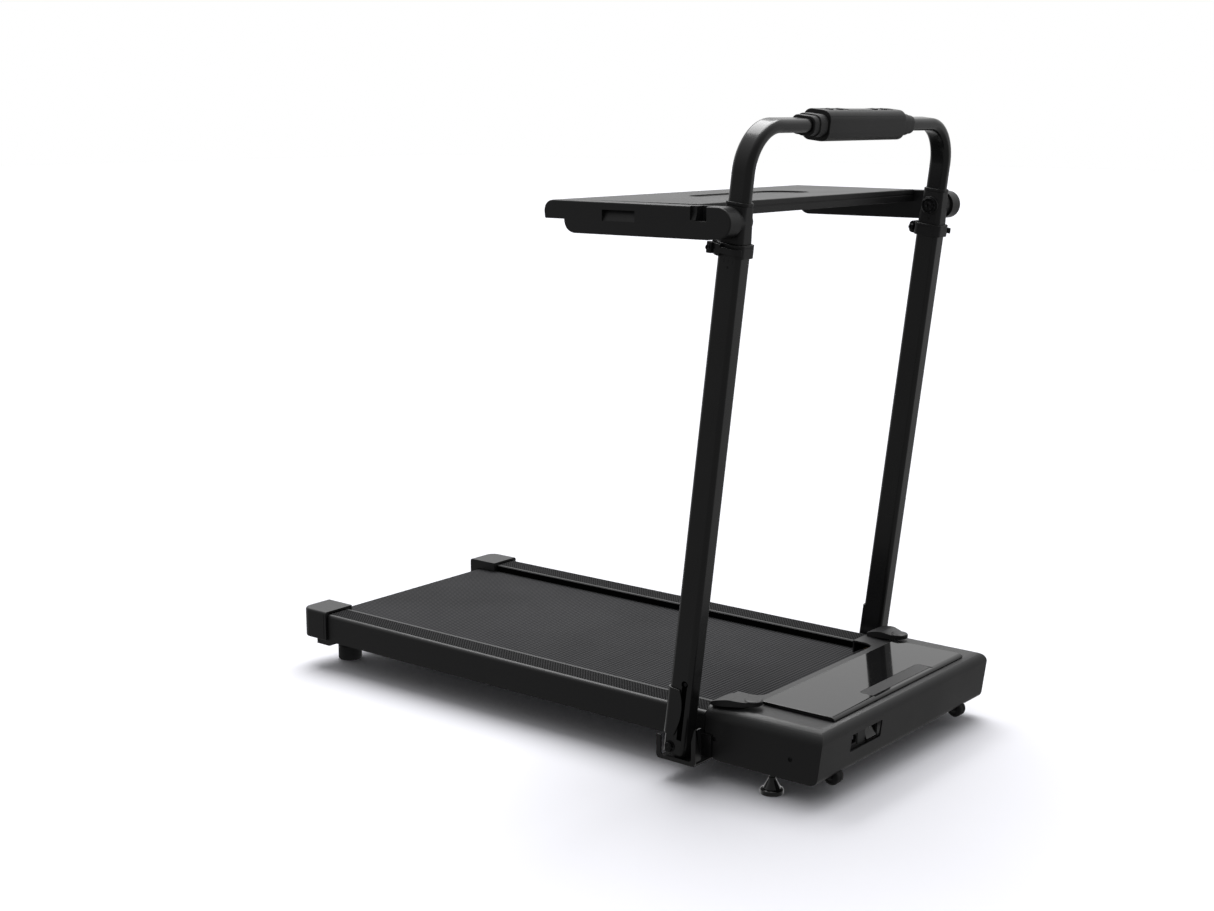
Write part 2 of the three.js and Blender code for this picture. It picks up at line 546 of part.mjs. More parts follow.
function hingeCasting() {
  const x = MAST_X, tall = CASTING_HIGH - 7;
  return cut(join(slabZ(roundedRect(36, 45, 9, THREE.Shape, x, MAST_DY), CASTING_LOW, tall, 6),
    slabZ(roundedRect(31, 42, 10, THREE.Shape, x, MAST_DY), tall, CASTING_HIGH, 6),
    rodX(21, x, ARM_IN - GAP, MAST_DY, HINGE_AT),
    rodX(17, x - 19, x, MAST_DY, HINGE_AT)),
  slabZ(roundedRect(BAR_W + 2 * GAP, BAR_D + 2 * GAP, 9, THREE.Shape, x, MAST_DY), 800, 990, 5),
  rodX(BORE_R, x - 40, x + 40, MAST_DY, HINGE_AT, COARSE));
}

function buildHandlebar() {
  add(mast, 'handlebar', handlebar(), paint);
  addPair(mast, 'hinge_casting', hingeCasting(), satin);
  addPair(mast, 'hinge_pin', join(rodX(SHAFT_R, MAST_X - 20, ARM_OUT - 8, MAST_DY, HINGE_AT, COARSE),
    rodX(14.5, MAST_X - 22, MAST_X - 19 - GAP, MAST_DY, HINGE_AT)), steel);
}

// ---- console ------------------------------------------------------------------------------
const COVER_SPLIT = BAR_Z + 16, BUTTON_XS = [-88, -56, 56, 88];
function consoleBlock(z0, z1) {
  const section = roundedRect(CONSOLE_D, CONSOLE_H, 16, THREE.Shape, MAST_DY, BAR_Z);
  const taper = 20;
  const plan = polygon([-CONSOLE_HALF, MAST_DY - 17], [-CONSOLE_HALF + taper, MAST_DY - 27.5],
    [CONSOLE_HALF - taper, MAST_DY - 27.5], [CONSOLE_HALF, MAST_DY - 17], [CONSOLE_HALF, MAST_DY + 17],
    [CONSOLE_HALF - taper, MAST_DY + 27.5], [-CONSOLE_HALF + taper, MAST_DY + 27.5],
    [-CONSOLE_HALF, MAST_DY + 17]);
  return common(slabX(section, -CONSOLE_HALF, CONSOLE_HALF, 6), slabZ(plan, z0, z1));
}

function buildConsole() {
  const top = BAR_Z + CONSOLE_H / 2;
  const bore = roundedRect(BAR_D + 2 * GAP, BAR_W + 2 * GAP, 9, THREE.Shape, MAST_DY, BAR_Z);
  const sleeve = roundedRect(BAR_D + 8, BAR_W + 10, 12, THREE.Shape, MAST_DY, BAR_Z);
  add(mast, 'console_housing', cut(join(consoleBlock(0, COVER_SPLIT), slabX(sleeve, -SLEEVE_HALF, SLEEVE_HALF, 5)),
    slabX(bore, -200, 200, 5)), satin);
  const pockets = BUTTON_XS.map((x) => rodZ(BUTTON_R + 0.4, COVER_SPLIT + 3, top + 2, x, MAST_DY, 16));
  add(mast, 'console_cover', cut(consoleBlock(COVER_SPLIT + GAP, top + 5), ...pockets), gloss);
  BUTTON_XS.forEach((x, i) => {
    add(mast, `console_button_${i + 1}`,
      rodZ(BUTTON_R, COVER_SPLIT + 4.5, top + 1.2, x, MAST_DY, 16), satin);
  });
}

// ---- desk ---------------------------------------------------------------------------------
function deskArm() {
  const side = new THREE.Shape();
  side.moveTo(DESK_NOSE, 956);
  side.lineTo(DESK_NOSE, DESK_TOP - 5);
  side.quadraticCurveTo(DESK_NOSE, DESK_TOP, DESK_NOSE - 5, DESK_TOP);
  side.lineTo(HINGE_Y + 13, DESK_TOP - 1.6);
  side.absarc(HINGE_Y, HINGE_Z, HINGE_R, Math.PI / 2, 1.5 * Math.PI);
  side.lineTo(HINGE_Y + 20, 917.5);
  side.lineTo(-176, 917.5);
  side.quadraticCurveTo(-156, 919, -154, 940);
  side.lineTo(-118, 940);
  side.quadraticCurveTo(DESK_NOSE, 942, DESK_NOSE, 956);
  const notch = box(ARM_OUT - 12, ARM_OUT + 1, -443.5, -421.5, 946, 980);
  const grip = box(ARM_OUT - 8, ARM_OUT + 1, -302.5, -235.5, 940, 958);
  return cut(slabX(side, ARM_IN, ARM_OUT, 8), notch, grip,
    rodX(BORE_R, ARM_IN - 1, ARM_OUT - 7, HINGE_Y, HINGE_Z, COARSE));
}

function deskTop() {
  const half = ARM_IN - GAP;
  const profile = new THREE.Shape();
  profile.moveTo(DESK_FRONT, DESK_TOP);
  profile.lineTo(DESK_FRONT, DESK_UNDER);
  profile.lineTo(DESK_NOSE - 40, DESK_UNDER);
  profile.quadraticCurveTo(DESK_NOSE - 30, 940, DESK_NOSE - 12, 940);
  profile.quadraticCurveTo(DESK_NOSE, 941, DESK_NOSE, 956);
  profile.lineTo(DESK_NOSE, DESK_TOP - 5);
  profile.quadraticCurveTo(DESK_NOSE, DESK_TOP, DESK_NOSE - 5, DESK_TOP);
  const tray = roundedRect(290, 97, 40, THREE.Shape, 0, -271);
  return cut(slabX(profile, -half, half, 5), slabZ(tray, DESK_TOP - 3, DESK_TOP + 2, 8));
}

function buildDesk() {
  add(treadmill, 'desk_top', deskTop(), satin);
  addPair(treadmill, 'desk_arm', deskArm(), satin);
}

buildDeck();
buildMotorEnd();
buildMastFoot();
buildMast();
buildHandlebar();
buildConsole();
buildDesk();

export default treadmill;
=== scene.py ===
"""A folding desk treadmill: the visible skin of every moulded, bent and turned piece, in metres."""
import json
import math

import bmesh
import bpy
from mathutils import Matrix, Vector


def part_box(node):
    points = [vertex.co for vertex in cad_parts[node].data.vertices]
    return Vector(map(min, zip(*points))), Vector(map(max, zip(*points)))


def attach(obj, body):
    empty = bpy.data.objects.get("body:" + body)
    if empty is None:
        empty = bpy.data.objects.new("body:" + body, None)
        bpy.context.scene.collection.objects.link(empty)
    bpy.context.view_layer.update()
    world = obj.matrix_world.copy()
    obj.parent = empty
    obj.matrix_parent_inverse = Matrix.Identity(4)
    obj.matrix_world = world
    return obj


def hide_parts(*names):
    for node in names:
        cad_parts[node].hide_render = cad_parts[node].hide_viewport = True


bl_info = {
    "name": "Folding desk treadmill",
    "version": (1, 0, 0),
    "blender": (4, 5, 0),
    "location": "View3D > Sidebar > Treadmill",
    "description": "Builds the shells, tubes and trim of a folding desk treadmill round its CAD frame",
    "category": "Add Mesh",
}

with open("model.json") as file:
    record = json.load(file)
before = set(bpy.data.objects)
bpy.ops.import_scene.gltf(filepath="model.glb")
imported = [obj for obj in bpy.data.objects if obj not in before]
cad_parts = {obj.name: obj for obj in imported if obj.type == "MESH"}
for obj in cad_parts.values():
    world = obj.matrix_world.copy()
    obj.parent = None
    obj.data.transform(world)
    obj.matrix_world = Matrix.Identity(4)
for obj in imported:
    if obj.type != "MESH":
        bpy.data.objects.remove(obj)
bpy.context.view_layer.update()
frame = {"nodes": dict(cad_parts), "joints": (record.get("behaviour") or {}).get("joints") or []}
MM = 0.001

# ---- places and sizes taken from the frame, in millimetres ---------------------------------
JOINTS = {joint["name"]: joint for joint in frame["joints"]}


def span(node):
    """Lowest and highest corners of a CAD node, in millimetres."""
    low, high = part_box(node)
    return [value / MM for value in low], [value / MM for value in high]


def centre_of(node):
    """Middle of a CAD node's box, in millimetres."""
    return [(a + b) / 2 for a, b in zip(*span(node))]


FOLD = JOINTS["mast_fold"]["pos_m"]
PIVOT_Y, PIVOT_Z = FOLD[1] / MM, FOLD[2] / MM
RISE = JOINTS["handlebar_height"]["axis"]
LEAN = math.atan2(-RISE[1], RISE[2])
RAIL_LOW, RAIL_HIGH = span("right_foot_rail")
CAP_LOW, CAP_HIGH = span("right_rear_cap")
BELT_LOW, BELT_HIGH = span("running_belt")
HOOD_LOW, HOOD_HIGH = span("motor_hood")
PANEL_LOW, PANEL_HIGH = span("hood_top_panel")
DESK_LOW, DESK_HIGH = span("desk_top")
ARM_LOW, ARM_HIGH = span("right_desk_arm")
ROLLER_Y = JOINTS["rear_roller_spin"]["pos_m"][1] / MM
FRONT_ROLLER_Y = JOINTS["front_roller_spin"]["pos_m"][1] / MM
ROLLER_Z = JOINTS["rear_roller_spin"]["pos_m"][2] / MM
TILT = JOINTS["desk_tilt"]["pos_m"]
HINGE_Y, HINGE_Z = TILT[1] / MM, TILT[2] / MM


def in_mast(y, z):
    """A world place (y, z) seen in the mast's own frame, whose origin is the fold pivot."""
    dy, dz = y - PIVOT_Y, z - PIVOT_Z
    return dy * math.cos(LEAN) + dz * math.sin(LEAN), dz * math.cos(LEAN) - dy * math.sin(LEAN)


TUBE_Y, HINGE_AT = in_mast(HINGE_Y, HINGE_Z)
MAST_X = centre_of("right_upright")[0]
GAP = 0.3

# ---- modelling by hand, in code -------------------------------------------------------------


def deselect():
    if bpy.context.object and bpy.context.object.mode != "OBJECT":
        bpy.ops.object.mode_set(mode="OBJECT")
    bpy.ops.object.select_all(action="DESELECT")


def pick(*pieces):
    deselect()
    for piece in pieces:
        piece.select_set(True)
    bpy.context.view_layer.objects.active = pieces[0]


def select(action="SELECT"):
    bpy.ops.mesh.select_all(action=action)


def edit(piece, kind="VERT"):
    """Opens a piece for editing with everything selected."""
    pick(piece)
    bpy.ops.object.mode_set(mode="EDIT")
    bpy.ops.mesh.select_mode(type=kind)
    select()


def leave_edit():
    bpy.ops.object.mode_set(mode="OBJECT")


def edit_edges(piece, chosen):
    """Opens a piece with the edges selected whose two ends pass `chosen`, a test on millimetres."""
    edit(piece, "EDGE")
    select("DESELECT")
    leave_edit()
    passed = [chosen(vertex.co / MM) for vertex in piece.data.vertices]
    for edge in piece.data.edges:
        edge.select = all(passed[index] for index in edge.vertices)
    bpy.ops.object.mode_set(mode="EDIT")


def extrude(x, y, z):
    """Extrudes the selected faces by a step in millimetres."""
    bpy.ops.mesh.extrude_region_move(TRANSFORM_OT_translate={"value": Vector((x, y, z)) * MM})


def face_out():
    """Turns every face outwards and leaves edit mode."""
    select()
    bpy.ops.mesh.normals_make_consistent(inside=False)
    leave_edit()


def chain(name, points, closed):
    """A line of edges drawn point by point; points are (x, y, z) in millimetres."""
    deselect()
    first = Vector(points[0]) * MM
    bpy.ops.mesh.primitive_plane_add(size=MM, location=first)
    piece = bpy.context.object
    piece.name = name
    edit(piece)
    bpy.ops.mesh.merge(type="CENTER")
    place = first
    for point in points[1:]:
        step = Vector(point) * MM - place
        bpy.ops.mesh.extrude_vertices_move(TRANSFORM_OT_translate={"value": step})
        place = place + step
    select()
    if closed:
        bpy.ops.mesh.edge_face_add()
    leave_edit()
    bpy.ops.object.transform_apply()
    return piece


ALONG = {"X": (1, 2, 0), "Y": (0, 2, 1), "Z": (0, 1, 2)}


def spot(axis, u, v, w):
    """(u, v) on the plane across `axis`, at w along it, as (x, y, z)."""
    place = [0.0, 0.0, 0.0]
    for index, value in zip(ALONG[axis], (u, v, w)):
        place[index] = value
    return place


def slab(name, outline, axis, start, end):
    """An outline across `axis`, filled and extruded from start to end."""
    piece = chain(name, [spot(axis, u, v, start) for u, v in outline], True)
    edit(piece, "FACE")
    extrude(*spot(axis, 0, 0, end - start))
    face_out()
    return piece


def shaft(name, radius, axis, start, end, u, v, sides=32):
    """A round bar along `axis` about (u, v)."""
    turn = {"X": (0, math.pi / 2, 0), "Y": (math.pi / 2, 0, 0), "Z": (0, 0, 0)}[axis]
    deselect()
    bpy.ops.mesh.primitive_cylinder_add(
        vertices=sides, radius=radius * MM, depth=abs(end - start) * MM,
        location=Vector(spot(axis, u, v, (start + end) / 2)) * MM, rotation=turn)
    piece = bpy.context.object
    piece.name = name
    bpy.ops.object.transform_apply()
    return piece


def block(name, low, high):
    deselect()
    middle = [(a + b) / 2 * MM for a, b in zip(low, high)]
    bpy.ops.mesh.primitive_cube_add(size=1, location=middle)
    piece = bpy.context.object
    piece.name = name
    piece.scale = [(b - a) * MM for a, b in zip(low, high)]
    bpy.ops.object.transform_apply()
    return piece


def turned(name, profile, centre, axis="Z", steps=48):
    """A profile of (radius, height) spun about an axis through `centre`."""
    u, v, w = (centre[i] for i in ALONG[axis])
    piece = chain(name, [spot(axis, u + r, v, w + h) for r, h in profile], False)
    edit(piece)
    bpy.ops.mesh.spin(steps=steps, angle=2 * math.pi, center=Vector(centre) * MM,
                      axis=spot(axis, 0, 0, 1), use_auto_merge=True)
    select()
    bpy.ops.mesh.remove_doubles(threshold=1e-5)
    face_out()
    return piece


def apply_all(piece):
    pick(piece)
    for modifier in list(piece.modifiers):
        bpy.ops.object.modifier_apply(modifier=modifier.name)


def soften(piece, width, segments=3, angle=35):
    """Rounds every edge sharper than `angle` degrees."""
    bevel = piece.modifiers.new("Rounding", "BEVEL")
    bevel.width = width * MM
    bevel.segments = segments
    bevel.limit_method = "ANGLE"
    bevel.angle_limit = math.radians(angle)
    bevel.use_clamp_overlap = True
    bevel.miter_outer = "MITER_ARC"
    apply_all(piece)
    return piece


def round_where(piece, width, segments, chosen):
    """Rounds the edges whose two ends both pass `chosen`."""
    edit_edges(piece, chosen)
    bpy.ops.mesh.bevel(offset=width * MM, segments=segments, clamp_overlap=True)
    leave_edit()
    return piece


def combine(piece, other, operation):
    boolean = piece.modifiers.new("Boolean", "BOOLEAN")
    boolean.operation = operation
    boolean.solver = "EXACT"
    boolean.object = other
    apply_all(piece)
    bpy.data.objects.remove(other)
    return piece


def carve(piece, *tools):
    for tool in tools:
        combine(piece, tool, "DIFFERENCE")
    return piece


def weld(piece, *others):
    for other in others:
        combine(piece, other, "UNION")
    return piece


def group(name, *pieces):
    """Several small solids kept as one object."""
    pick(*pieces)
    if len(pieces) > 1:
        bpy.ops.object.join()
    piece = bpy.context.object
    piece.name = name
    return piece


def smooth(piece, angle=38):
    pick(piece)
    bpy.ops.object.shade_smooth_by_angle(angle=math.radians(angle))
    weighted = piece.modifiers.new("Weighted normals", "WEIGHTED_NORMAL")
    weighted.keep_sharp = True
    apply_all(piece)
    return piece


def lean(piece):
    """Moves a piece drawn in the mast's own frame to where the leaning mast stands."""
    pick(piece)
    piece.rotation_euler = (LEAN, 0, 0)
    piece.location = (0, PIVOT_Y * MM, PIVOT_Z * MM)
    bpy.ops.object.transform_apply()
    return piece


def mirrored(piece, name):
    """The left-hand copy of a right-hand piece, with its own mesh."""
    pick(piece)
    bpy.ops.object.duplicate()
    copy = bpy.context.object
    copy.name = name
    copy.scale.x = -1
    bpy.ops.object.transform_apply()
    shape = bmesh.new()
    shape.from_mesh(copy.data)
    inside_out = shape.calc_volume(signed=True) < 0
    shape.free()
    if inside_out:
        edit(copy, "FACE")
        bpy.ops.mesh.flip_normals()
        leave_edit()
    return copy


def cover(mesh, finish):
    """Leaves a mesh with one material, the finish of that name."""
    mesh.materials.clear()
    mesh.materials.append(finish_of(finish))


def place(piece, body, look, nodes=()):
    """Gives a piece the finish of its look (the look's slot is not applied), its body and the CAD nodes that
    it stands for.
    """
    smooth(piece)
    finish, slot = look
    cover(piece.data, finish)
    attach(piece, body)
    if nodes:
        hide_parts(*nodes)
    return piece


def place_pair(piece, name, body, look, replaces=True):
    """Places a right-hand piece and its mirrored left-hand copy; body may hold {side}."""
    piece.name = f"right_{name}_skin"
    left = mirrored(piece, f"left_{name}_skin")
    for copy, side in ((piece, "right"), (left, "left")):
        place(copy, body.format(side=side), look, [f"{side}_{name}"] if replaces else ())


def arc(cu, cv, radius, start, end, steps=8):
    """Points on an arc, angles in degrees."""
    turns = [math.radians(start + (end - start) * i / steps) for i in range(steps + 1)]
    return [(cu + radius * math.cos(turn), cv + radius * math.sin(turn)) for turn in turns]


def rounded(width, height, radius, cu=0, cv=0, steps=8):
    """Corners of a round-cornered rectangle."""
    u, v = width / 2 - radius, height / 2 - radius
    return (arc(cu + u, cv - v, radius, -90, 0, steps) + arc(cu + u, cv + v, radius, 0, 90, steps)
            + arc(cu - u, cv + v, radius, 90, 180, steps) + arc(cu - u, cv - v, radius, 180, 270, steps))


def about_tube(name, width, depth, radius, low, high):
    """A round-cornered solid about the right-hand tube, in the mast's own frame."""
    return slab(name, rounded(width, depth, radius, MAST_X, TUBE_Y), "Z", low, high)


def curve(start, control, end, steps=8):
    """Points on a quadratic curve, its start left out."""
    points = []
    for i in range(1, steps + 1):
        t = i / steps
        points.append(tuple((1 - t) ** 2 * a + 2 * t * (1 - t) * b + t * t * c
                            for a, b, c in zip(start, control, end)))
    return points


# ---- shader maths ---------------------------------------------------------------------------


class Wire:
    """A shader socket that adds Math nodes as Python works on it."""

    def __init__(self, shader, socket):
        self.shader = shader
        self.socket = socket

    def math(self, operation, *others):
        inputs = {index + 1: other for index, other in enumerate(others)}
        return self.shader.add("ShaderNodeMath", {"operation": operation}, {0: self, **inputs})

    def __add__(self, other):
        return self.math("ADD", other)

    def __sub__(self, other):
        return self.math("SUBTRACT", other)

    def __mul__(self, other):
        return self.math("MULTIPLY", other)


class Shader:
    """A new material with a Principled BSDF, built one node at a time."""

    def __init__(self, name):
        self.material = bpy.data.materials.new(name)
        self.material.use_nodes = True
        self.tree = self.material.node_tree
        self.surface = self.tree.nodes["Principled BSDF"]
        self.object = self.add("ShaderNodeTexCoord", {}, {}, "Object")

    def add(self, kind, settings, values, output=0):
        """Adds a node; settings are its properties, values its inputs, output the socket to return."""
        node = self.tree.nodes.new(kind)
        for key, value in settings.items():
            setattr(node, key, value)
        for key, value in values.items():
            if isinstance(value, Wire):
                self.tree.links.new(value.socket, node.inputs[key])
            else:
                node.inputs[key].default_value = value
        return Wire(self, node.outputs[output])

    def ramp(self, wire, low, high, dark=0.0, bright=1.0):
        """Maps the stretch low to high of a value onto dark to bright, held outside it."""
        return self.add("ShaderNodeMapRange", {"clamp": True}, {
            "Value": wire, "From Min": low, "From Max": high, "To Min": dark, "To Max": bright})

    def noise(self, scale, detail=2.0, roughness=0.5):
        return self.add("ShaderNodeTexNoise", {}, {
            "Vector": self.object, "Scale": scale, "Detail": detail, "Roughness": roughness})

    def mix(self, factor, first, second):
        """Blends two colours by a value."""
        return self.add("ShaderNodeMix", {"data_type": "RGBA"}, {0: factor, 6: first, 7: second}, 2)

    def tone(self, wire, low, high, dark, bright):
        """Blends two greys over the stretch low to high of a value."""
        return self.mix(self.ramp(wire, low, high), grey(dark), grey(bright))

    def set(self, **sockets):
        """Sets or links Principled inputs; underscores stand for spaces."""
        for key, value in sockets.items():
            socket = self.surface.inputs[key.replace("_", " ")]
            if isinstance(value, Wire):
                self.tree.links.new(value.socket, socket)
            else:
                socket.default_value = value

    def bump(self, height, strength, distance):
        self.set(Normal=self.add("ShaderNodeBump", {}, {
            "Strength": strength, "Distance": distance, "Height": height}))


def grey(value):
    return (value, value, value * 1.05, 1.0)


def powder_coat(shader, look):
    """Smooth satin paint on steel, with a faint orange peel and slight unevenness."""
    patches = shader.noise(9.0, 3.0)
    peel = shader.noise(700.0, 1.0)
    shader.set(Base_Color=shader.tone(patches, 0.3, 0.7, look.paint, look.paint * 1.35),
               Roughness=shader.ramp(patches, 0.3, 0.7, 0.24, 0.33), Coat_Weight=0.35,
               Coat_Roughness=0.12)
    shader.bump(peel, 0.12, 0.0003)


def moulded_plastic(shader, look):
    """Spark-eroded black moulding with a fine even grain."""
    grain = shader.noise(1500.0, 2.0, 0.6)
    patches = shader.noise(6.0, 3.0)
    shader.set(Base_Color=shader.tone(grain, 0.35, 0.65, look.plastic * 0.85, look.plastic * 1.25),
               Roughness=shader.ramp(patches, 0.3, 0.7, 0.38, 0.47))
    shader.bump(grain, 0.25, 0.00025)


def polished_panel(shader, look):
    """Polished black plastic with a faint haze."""
    haze = shader.noise(14.0, 4.0)
    shader.set(Base_Color=shader.tone(haze, 0.3, 0.7, look.paint * 0.7, look.paint),
               Roughness=shader.ramp(haze, 0.3, 0.7, 0.05, 0.1), Coat_Weight=0.5, Coat_Roughness=0.04)


def split(shader):
    """The Object coordinates as three separate values."""
    return [shader.add("ShaderNodeSeparateXYZ", {}, {"Vector": shader.object}, axis) for axis in "XYZ"]


def wave(value, pitch, phase=0.0):
    """A sine of period `pitch` metres, from -1 to 1."""
    return (value * (2 * math.pi / pitch) + phase).math("SINE")


def woven_belt(shader, look):
    """Rubber belt with a pressed square weave: strands along and across it, smoother on the peaks, with
    painted shade in the hollows and painted highlight on the peaks.
    """
    x, y, _ = split(shader)
    pitch = look.weave_pitch
    rows = wave(x, pitch) + wave(y, pitch)
    height = shader.ramp(rows, -0.8, 0.9)
    patches = shader.noise(5.0, 3.0)
    # colour: painted shade in the weave's hollows and painted highlight on its peaks, with a little random
    # tone
    tone = height * 0.85 + shader.ramp(patches, 0.35, 0.65) * 0.15
    shader.set(Base_Color=shader.mix(tone, grey(look.belt * 0.4), grey(look.belt * 1.7)),
               Roughness=shader.ramp(rows, -0.4, 0.6, 0.95, 0.75), Specular_IOR_Level=0.08)
    shader.bump(height, 0.6, 0.0006)


def rail_grip(shader, look):
    """Anti-slip strip with raised diagonal ribs crossed by finer ones, the colour painted with shade in the
    grooves and highlight on the ribs.
    """
    x, y, _ = split(shader)
    ribs = wave(x * 0.8 + y, look.rib_pitch)
    cross = wave(x * 0.8 - y, look.rib_pitch)
    height = shader.ramp(ribs, -0.2, 0.5) * shader.ramp(cross, -0.7, 0.0)
    # colour: painted shade in the grooves and painted highlight on the ribs
    shader.set(Base_Color=shader.mix(height, grey(look.plastic * 0.25), grey(look.plastic * 2.5)),
               Roughness=shader.ramp(height, 0.0, 1.0, 0.95, 0.7), Specular_IOR_Level=0.12)
    shader.bump(height, 0.8, 0.0007)


def soft_rubber(shader, look):
    """Matt black rubber with a dusty bloom."""
    bloom = shader.noise(60.0, 4.0)
    shader.set(Base_Color=shader.tone(bloom, 0.4, 0.7, 0.012, 0.03),
               Roughness=shader.ramp(bloom, 0.3, 0.7, 0.62, 0.8))
    shader.bump(bloom, 0.2, 0.0004)


def painted_shade_black(shader, look):
    """Near-black matt surface that paints shade, set behind the uprights' slots and along the rails' inner
    faces.
    """
    pile = shader.noise(900.0, 2.0)
    shader.set(Base_Color=shader.mix(pile, grey(0.001), grey(0.003)), Roughness=0.95,
               Specular_IOR_Level=0.05)


def zinc_plate(shader, look):
    """Zinc plated steel, slightly blotched."""
    blotch = shader.noise(120.0, 4.0)
    shader.set(Base_Color=shader.tone(blotch, 0.35, 0.65, 0.3, 0.48),
               Metallic=1.0, Roughness=shader.ramp(blotch, 0.3, 0.7, 0.26, 0.42))
    shader.bump(blotch, 0.15, 0.0002)


def black_oxide(shader, look):
    """Blackened screw steel with bare edges worn through."""
    wear = shader.noise(240.0, 3.0)
    shader.set(Base_Color=shader.tone(wear, 0.5, 0.75, 0.02, 0.09),
               Metallic=0.8, Roughness=shader.ramp(wear, 0.3, 0.7, 0.3, 0.45))


def fibreboard(shader, look):
    """Waxed brown fibreboard with fine pressed fibres."""
    stretched = shader.add("ShaderNodeMapping", {}, {"Vector": shader.object, "Scale": (1, 0.2, 1)})
    fibre = shader.add("ShaderNodeTexNoise", {}, {"Vector": stretched, "Scale": 260.0, "Detail": 5.0})
    shader.set(Base_Color=shader.mix(shader.ramp(fibre, 0.3, 0.7), (0.09, 0.06, 0.035, 1),
                                     (0.2, 0.14, 0.08, 1)), Roughness=0.5)
    shader.bump(fibre, 0.2, 0.0003)


def printed_mark(shader, look):
    """Pale grey print of the keys' plain symbols."""
    ink = shader.noise(900.0, 2.0)
    shader.set(Base_Color=shader.tone(ink, 0.3, 0.7, 0.42, 0.55), Roughness=0.45)


def studio_floor(shader, look):
    shader.set(Base_Color=grey(look.floor), Roughness=0.9, Specular_IOR_Level=0.1)


MAKERS = {maker.__name__: maker for maker in (
    powder_coat, moulded_plastic, polished_panel, woven_belt, rail_grip, soft_rubber, painted_shade_black,
    zinc_plate, black_oxide, fibreboard, printed_mark, studio_floor)}


def finish_of(name):
    """The material of that name, made the first time it is asked for."""
    if name not in bpy.data.materials:
        MAKERS[name](Shader(name), bpy.context.scene.treadmill_look)
    return bpy.data.materials[name]


# each look: its finish here, and the material slot of the record that it fills
WEAVE = ("woven_belt", "belt_weave")
PLASTIC = ("moulded_plastic", "satin_black_plastic")
COVER = ("moulded_plastic", "gloss_black_plastic")
RIBBED = ("rail_grip", "satin_black_plastic")
# painted shade: a near-black finish for places where only shade falls
PAINTED_SHADE = ("painted_shade_black", "black_rubber")
RUBBER = ("soft_rubber", "black_rubber")
HARD_RUBBER = ("polished_panel", "black_rubber")
GLOSS = ("polished_panel", "gloss_black_plastic")
BLACKENED = ("black_oxide", "zinc_steel")
ZINC = ("zinc_plate", "zinc_steel")
PRINT_ON_GLOSS = ("printed_mark", "gloss_black_plastic")
PRINT_ON_SATIN = ("printed_mark", "satin_black_plastic")
PAINT = ("powder_coat", "black_painted_steel")
PAINTED_COVER = ("powder_coat", "satin_black_plastic")


# ---- settings -------------------------------------------------------------------------------


def brightness(name, thing, default):
    return bpy.props.FloatProperty(name=name, description=f"Brightness of the {thing}", default=default,
                                   min=0, max=1)


class TreadmillLook(bpy.types.PropertyGroup):
    """Colours and pattern sizes."""
    paint: brightness("Paint", "painted tubes", 0.008)
    plastic: brightness("Plastic", "moulded shells", 0.016)
    belt: brightness("Belt", "running belt", 0.038)
    floor: brightness("Floor", "studio floor", 0.9)
    weave_pitch: bpy.props.FloatProperty(name="Weave pitch", description="Spacing of the belt's strands",
                                         default=0.0075, unit="LENGTH")
    rib_pitch: bpy.props.FloatProperty(name="Rib pitch", description="Spacing of the rail strip's ribs",
                                       default=0.006, unit="LENGTH")


class TreadmillSizes(bpy.types.PropertyGroup):
    """Sizes in millimetres that the CAD frame leaves to the skin."""
    screw: bpy.props.FloatProperty(name="Screw", description="Radius of the cover screws", default=3.2)


class Builder:
    """What every operator below shares: build() makes its pieces."""
    bl_options = {"REGISTER", "UNDO"}

    def execute(self, context):
        self.build(context)
        return {"FINISHED"}


# ---- running deck ---------------------------------------------------------------------------


class TREADMILL_OT_belt(Builder, bpy.types.Operator):
    """The running belt: one loop round both rollers, with its own thickness"""
    bl_idname = "treadmill.belt"
    bl_label = "Running belt"

    def build(self, context):
        radius = (BELT_HIGH[2] - BELT_LOW[2]) / 2
        loop = (arc(FRONT_ROLLER_Y, ROLLER_Z, radius, 270, 90, 24)
                + arc(ROLLER_Y, ROLLER_Z, radius, 90, -90, 24))
        belt = slab("belt_skin", loop, "X", BELT_LOW[0], BELT_HIGH[0])
        inner = (arc(FRONT_ROLLER_Y, ROLLER_Z, radius - 2, 270, 90, 24)
                 + arc(ROLLER_Y, ROLLER_Z, radius - 2, 90, -90, 24))
        carve(belt, slab("belt_inside", inner, "X", BELT_LOW[0] - 5, BELT_HIGH[0] + 5))
        place(belt, "base", WEAVE, ["running_belt"])


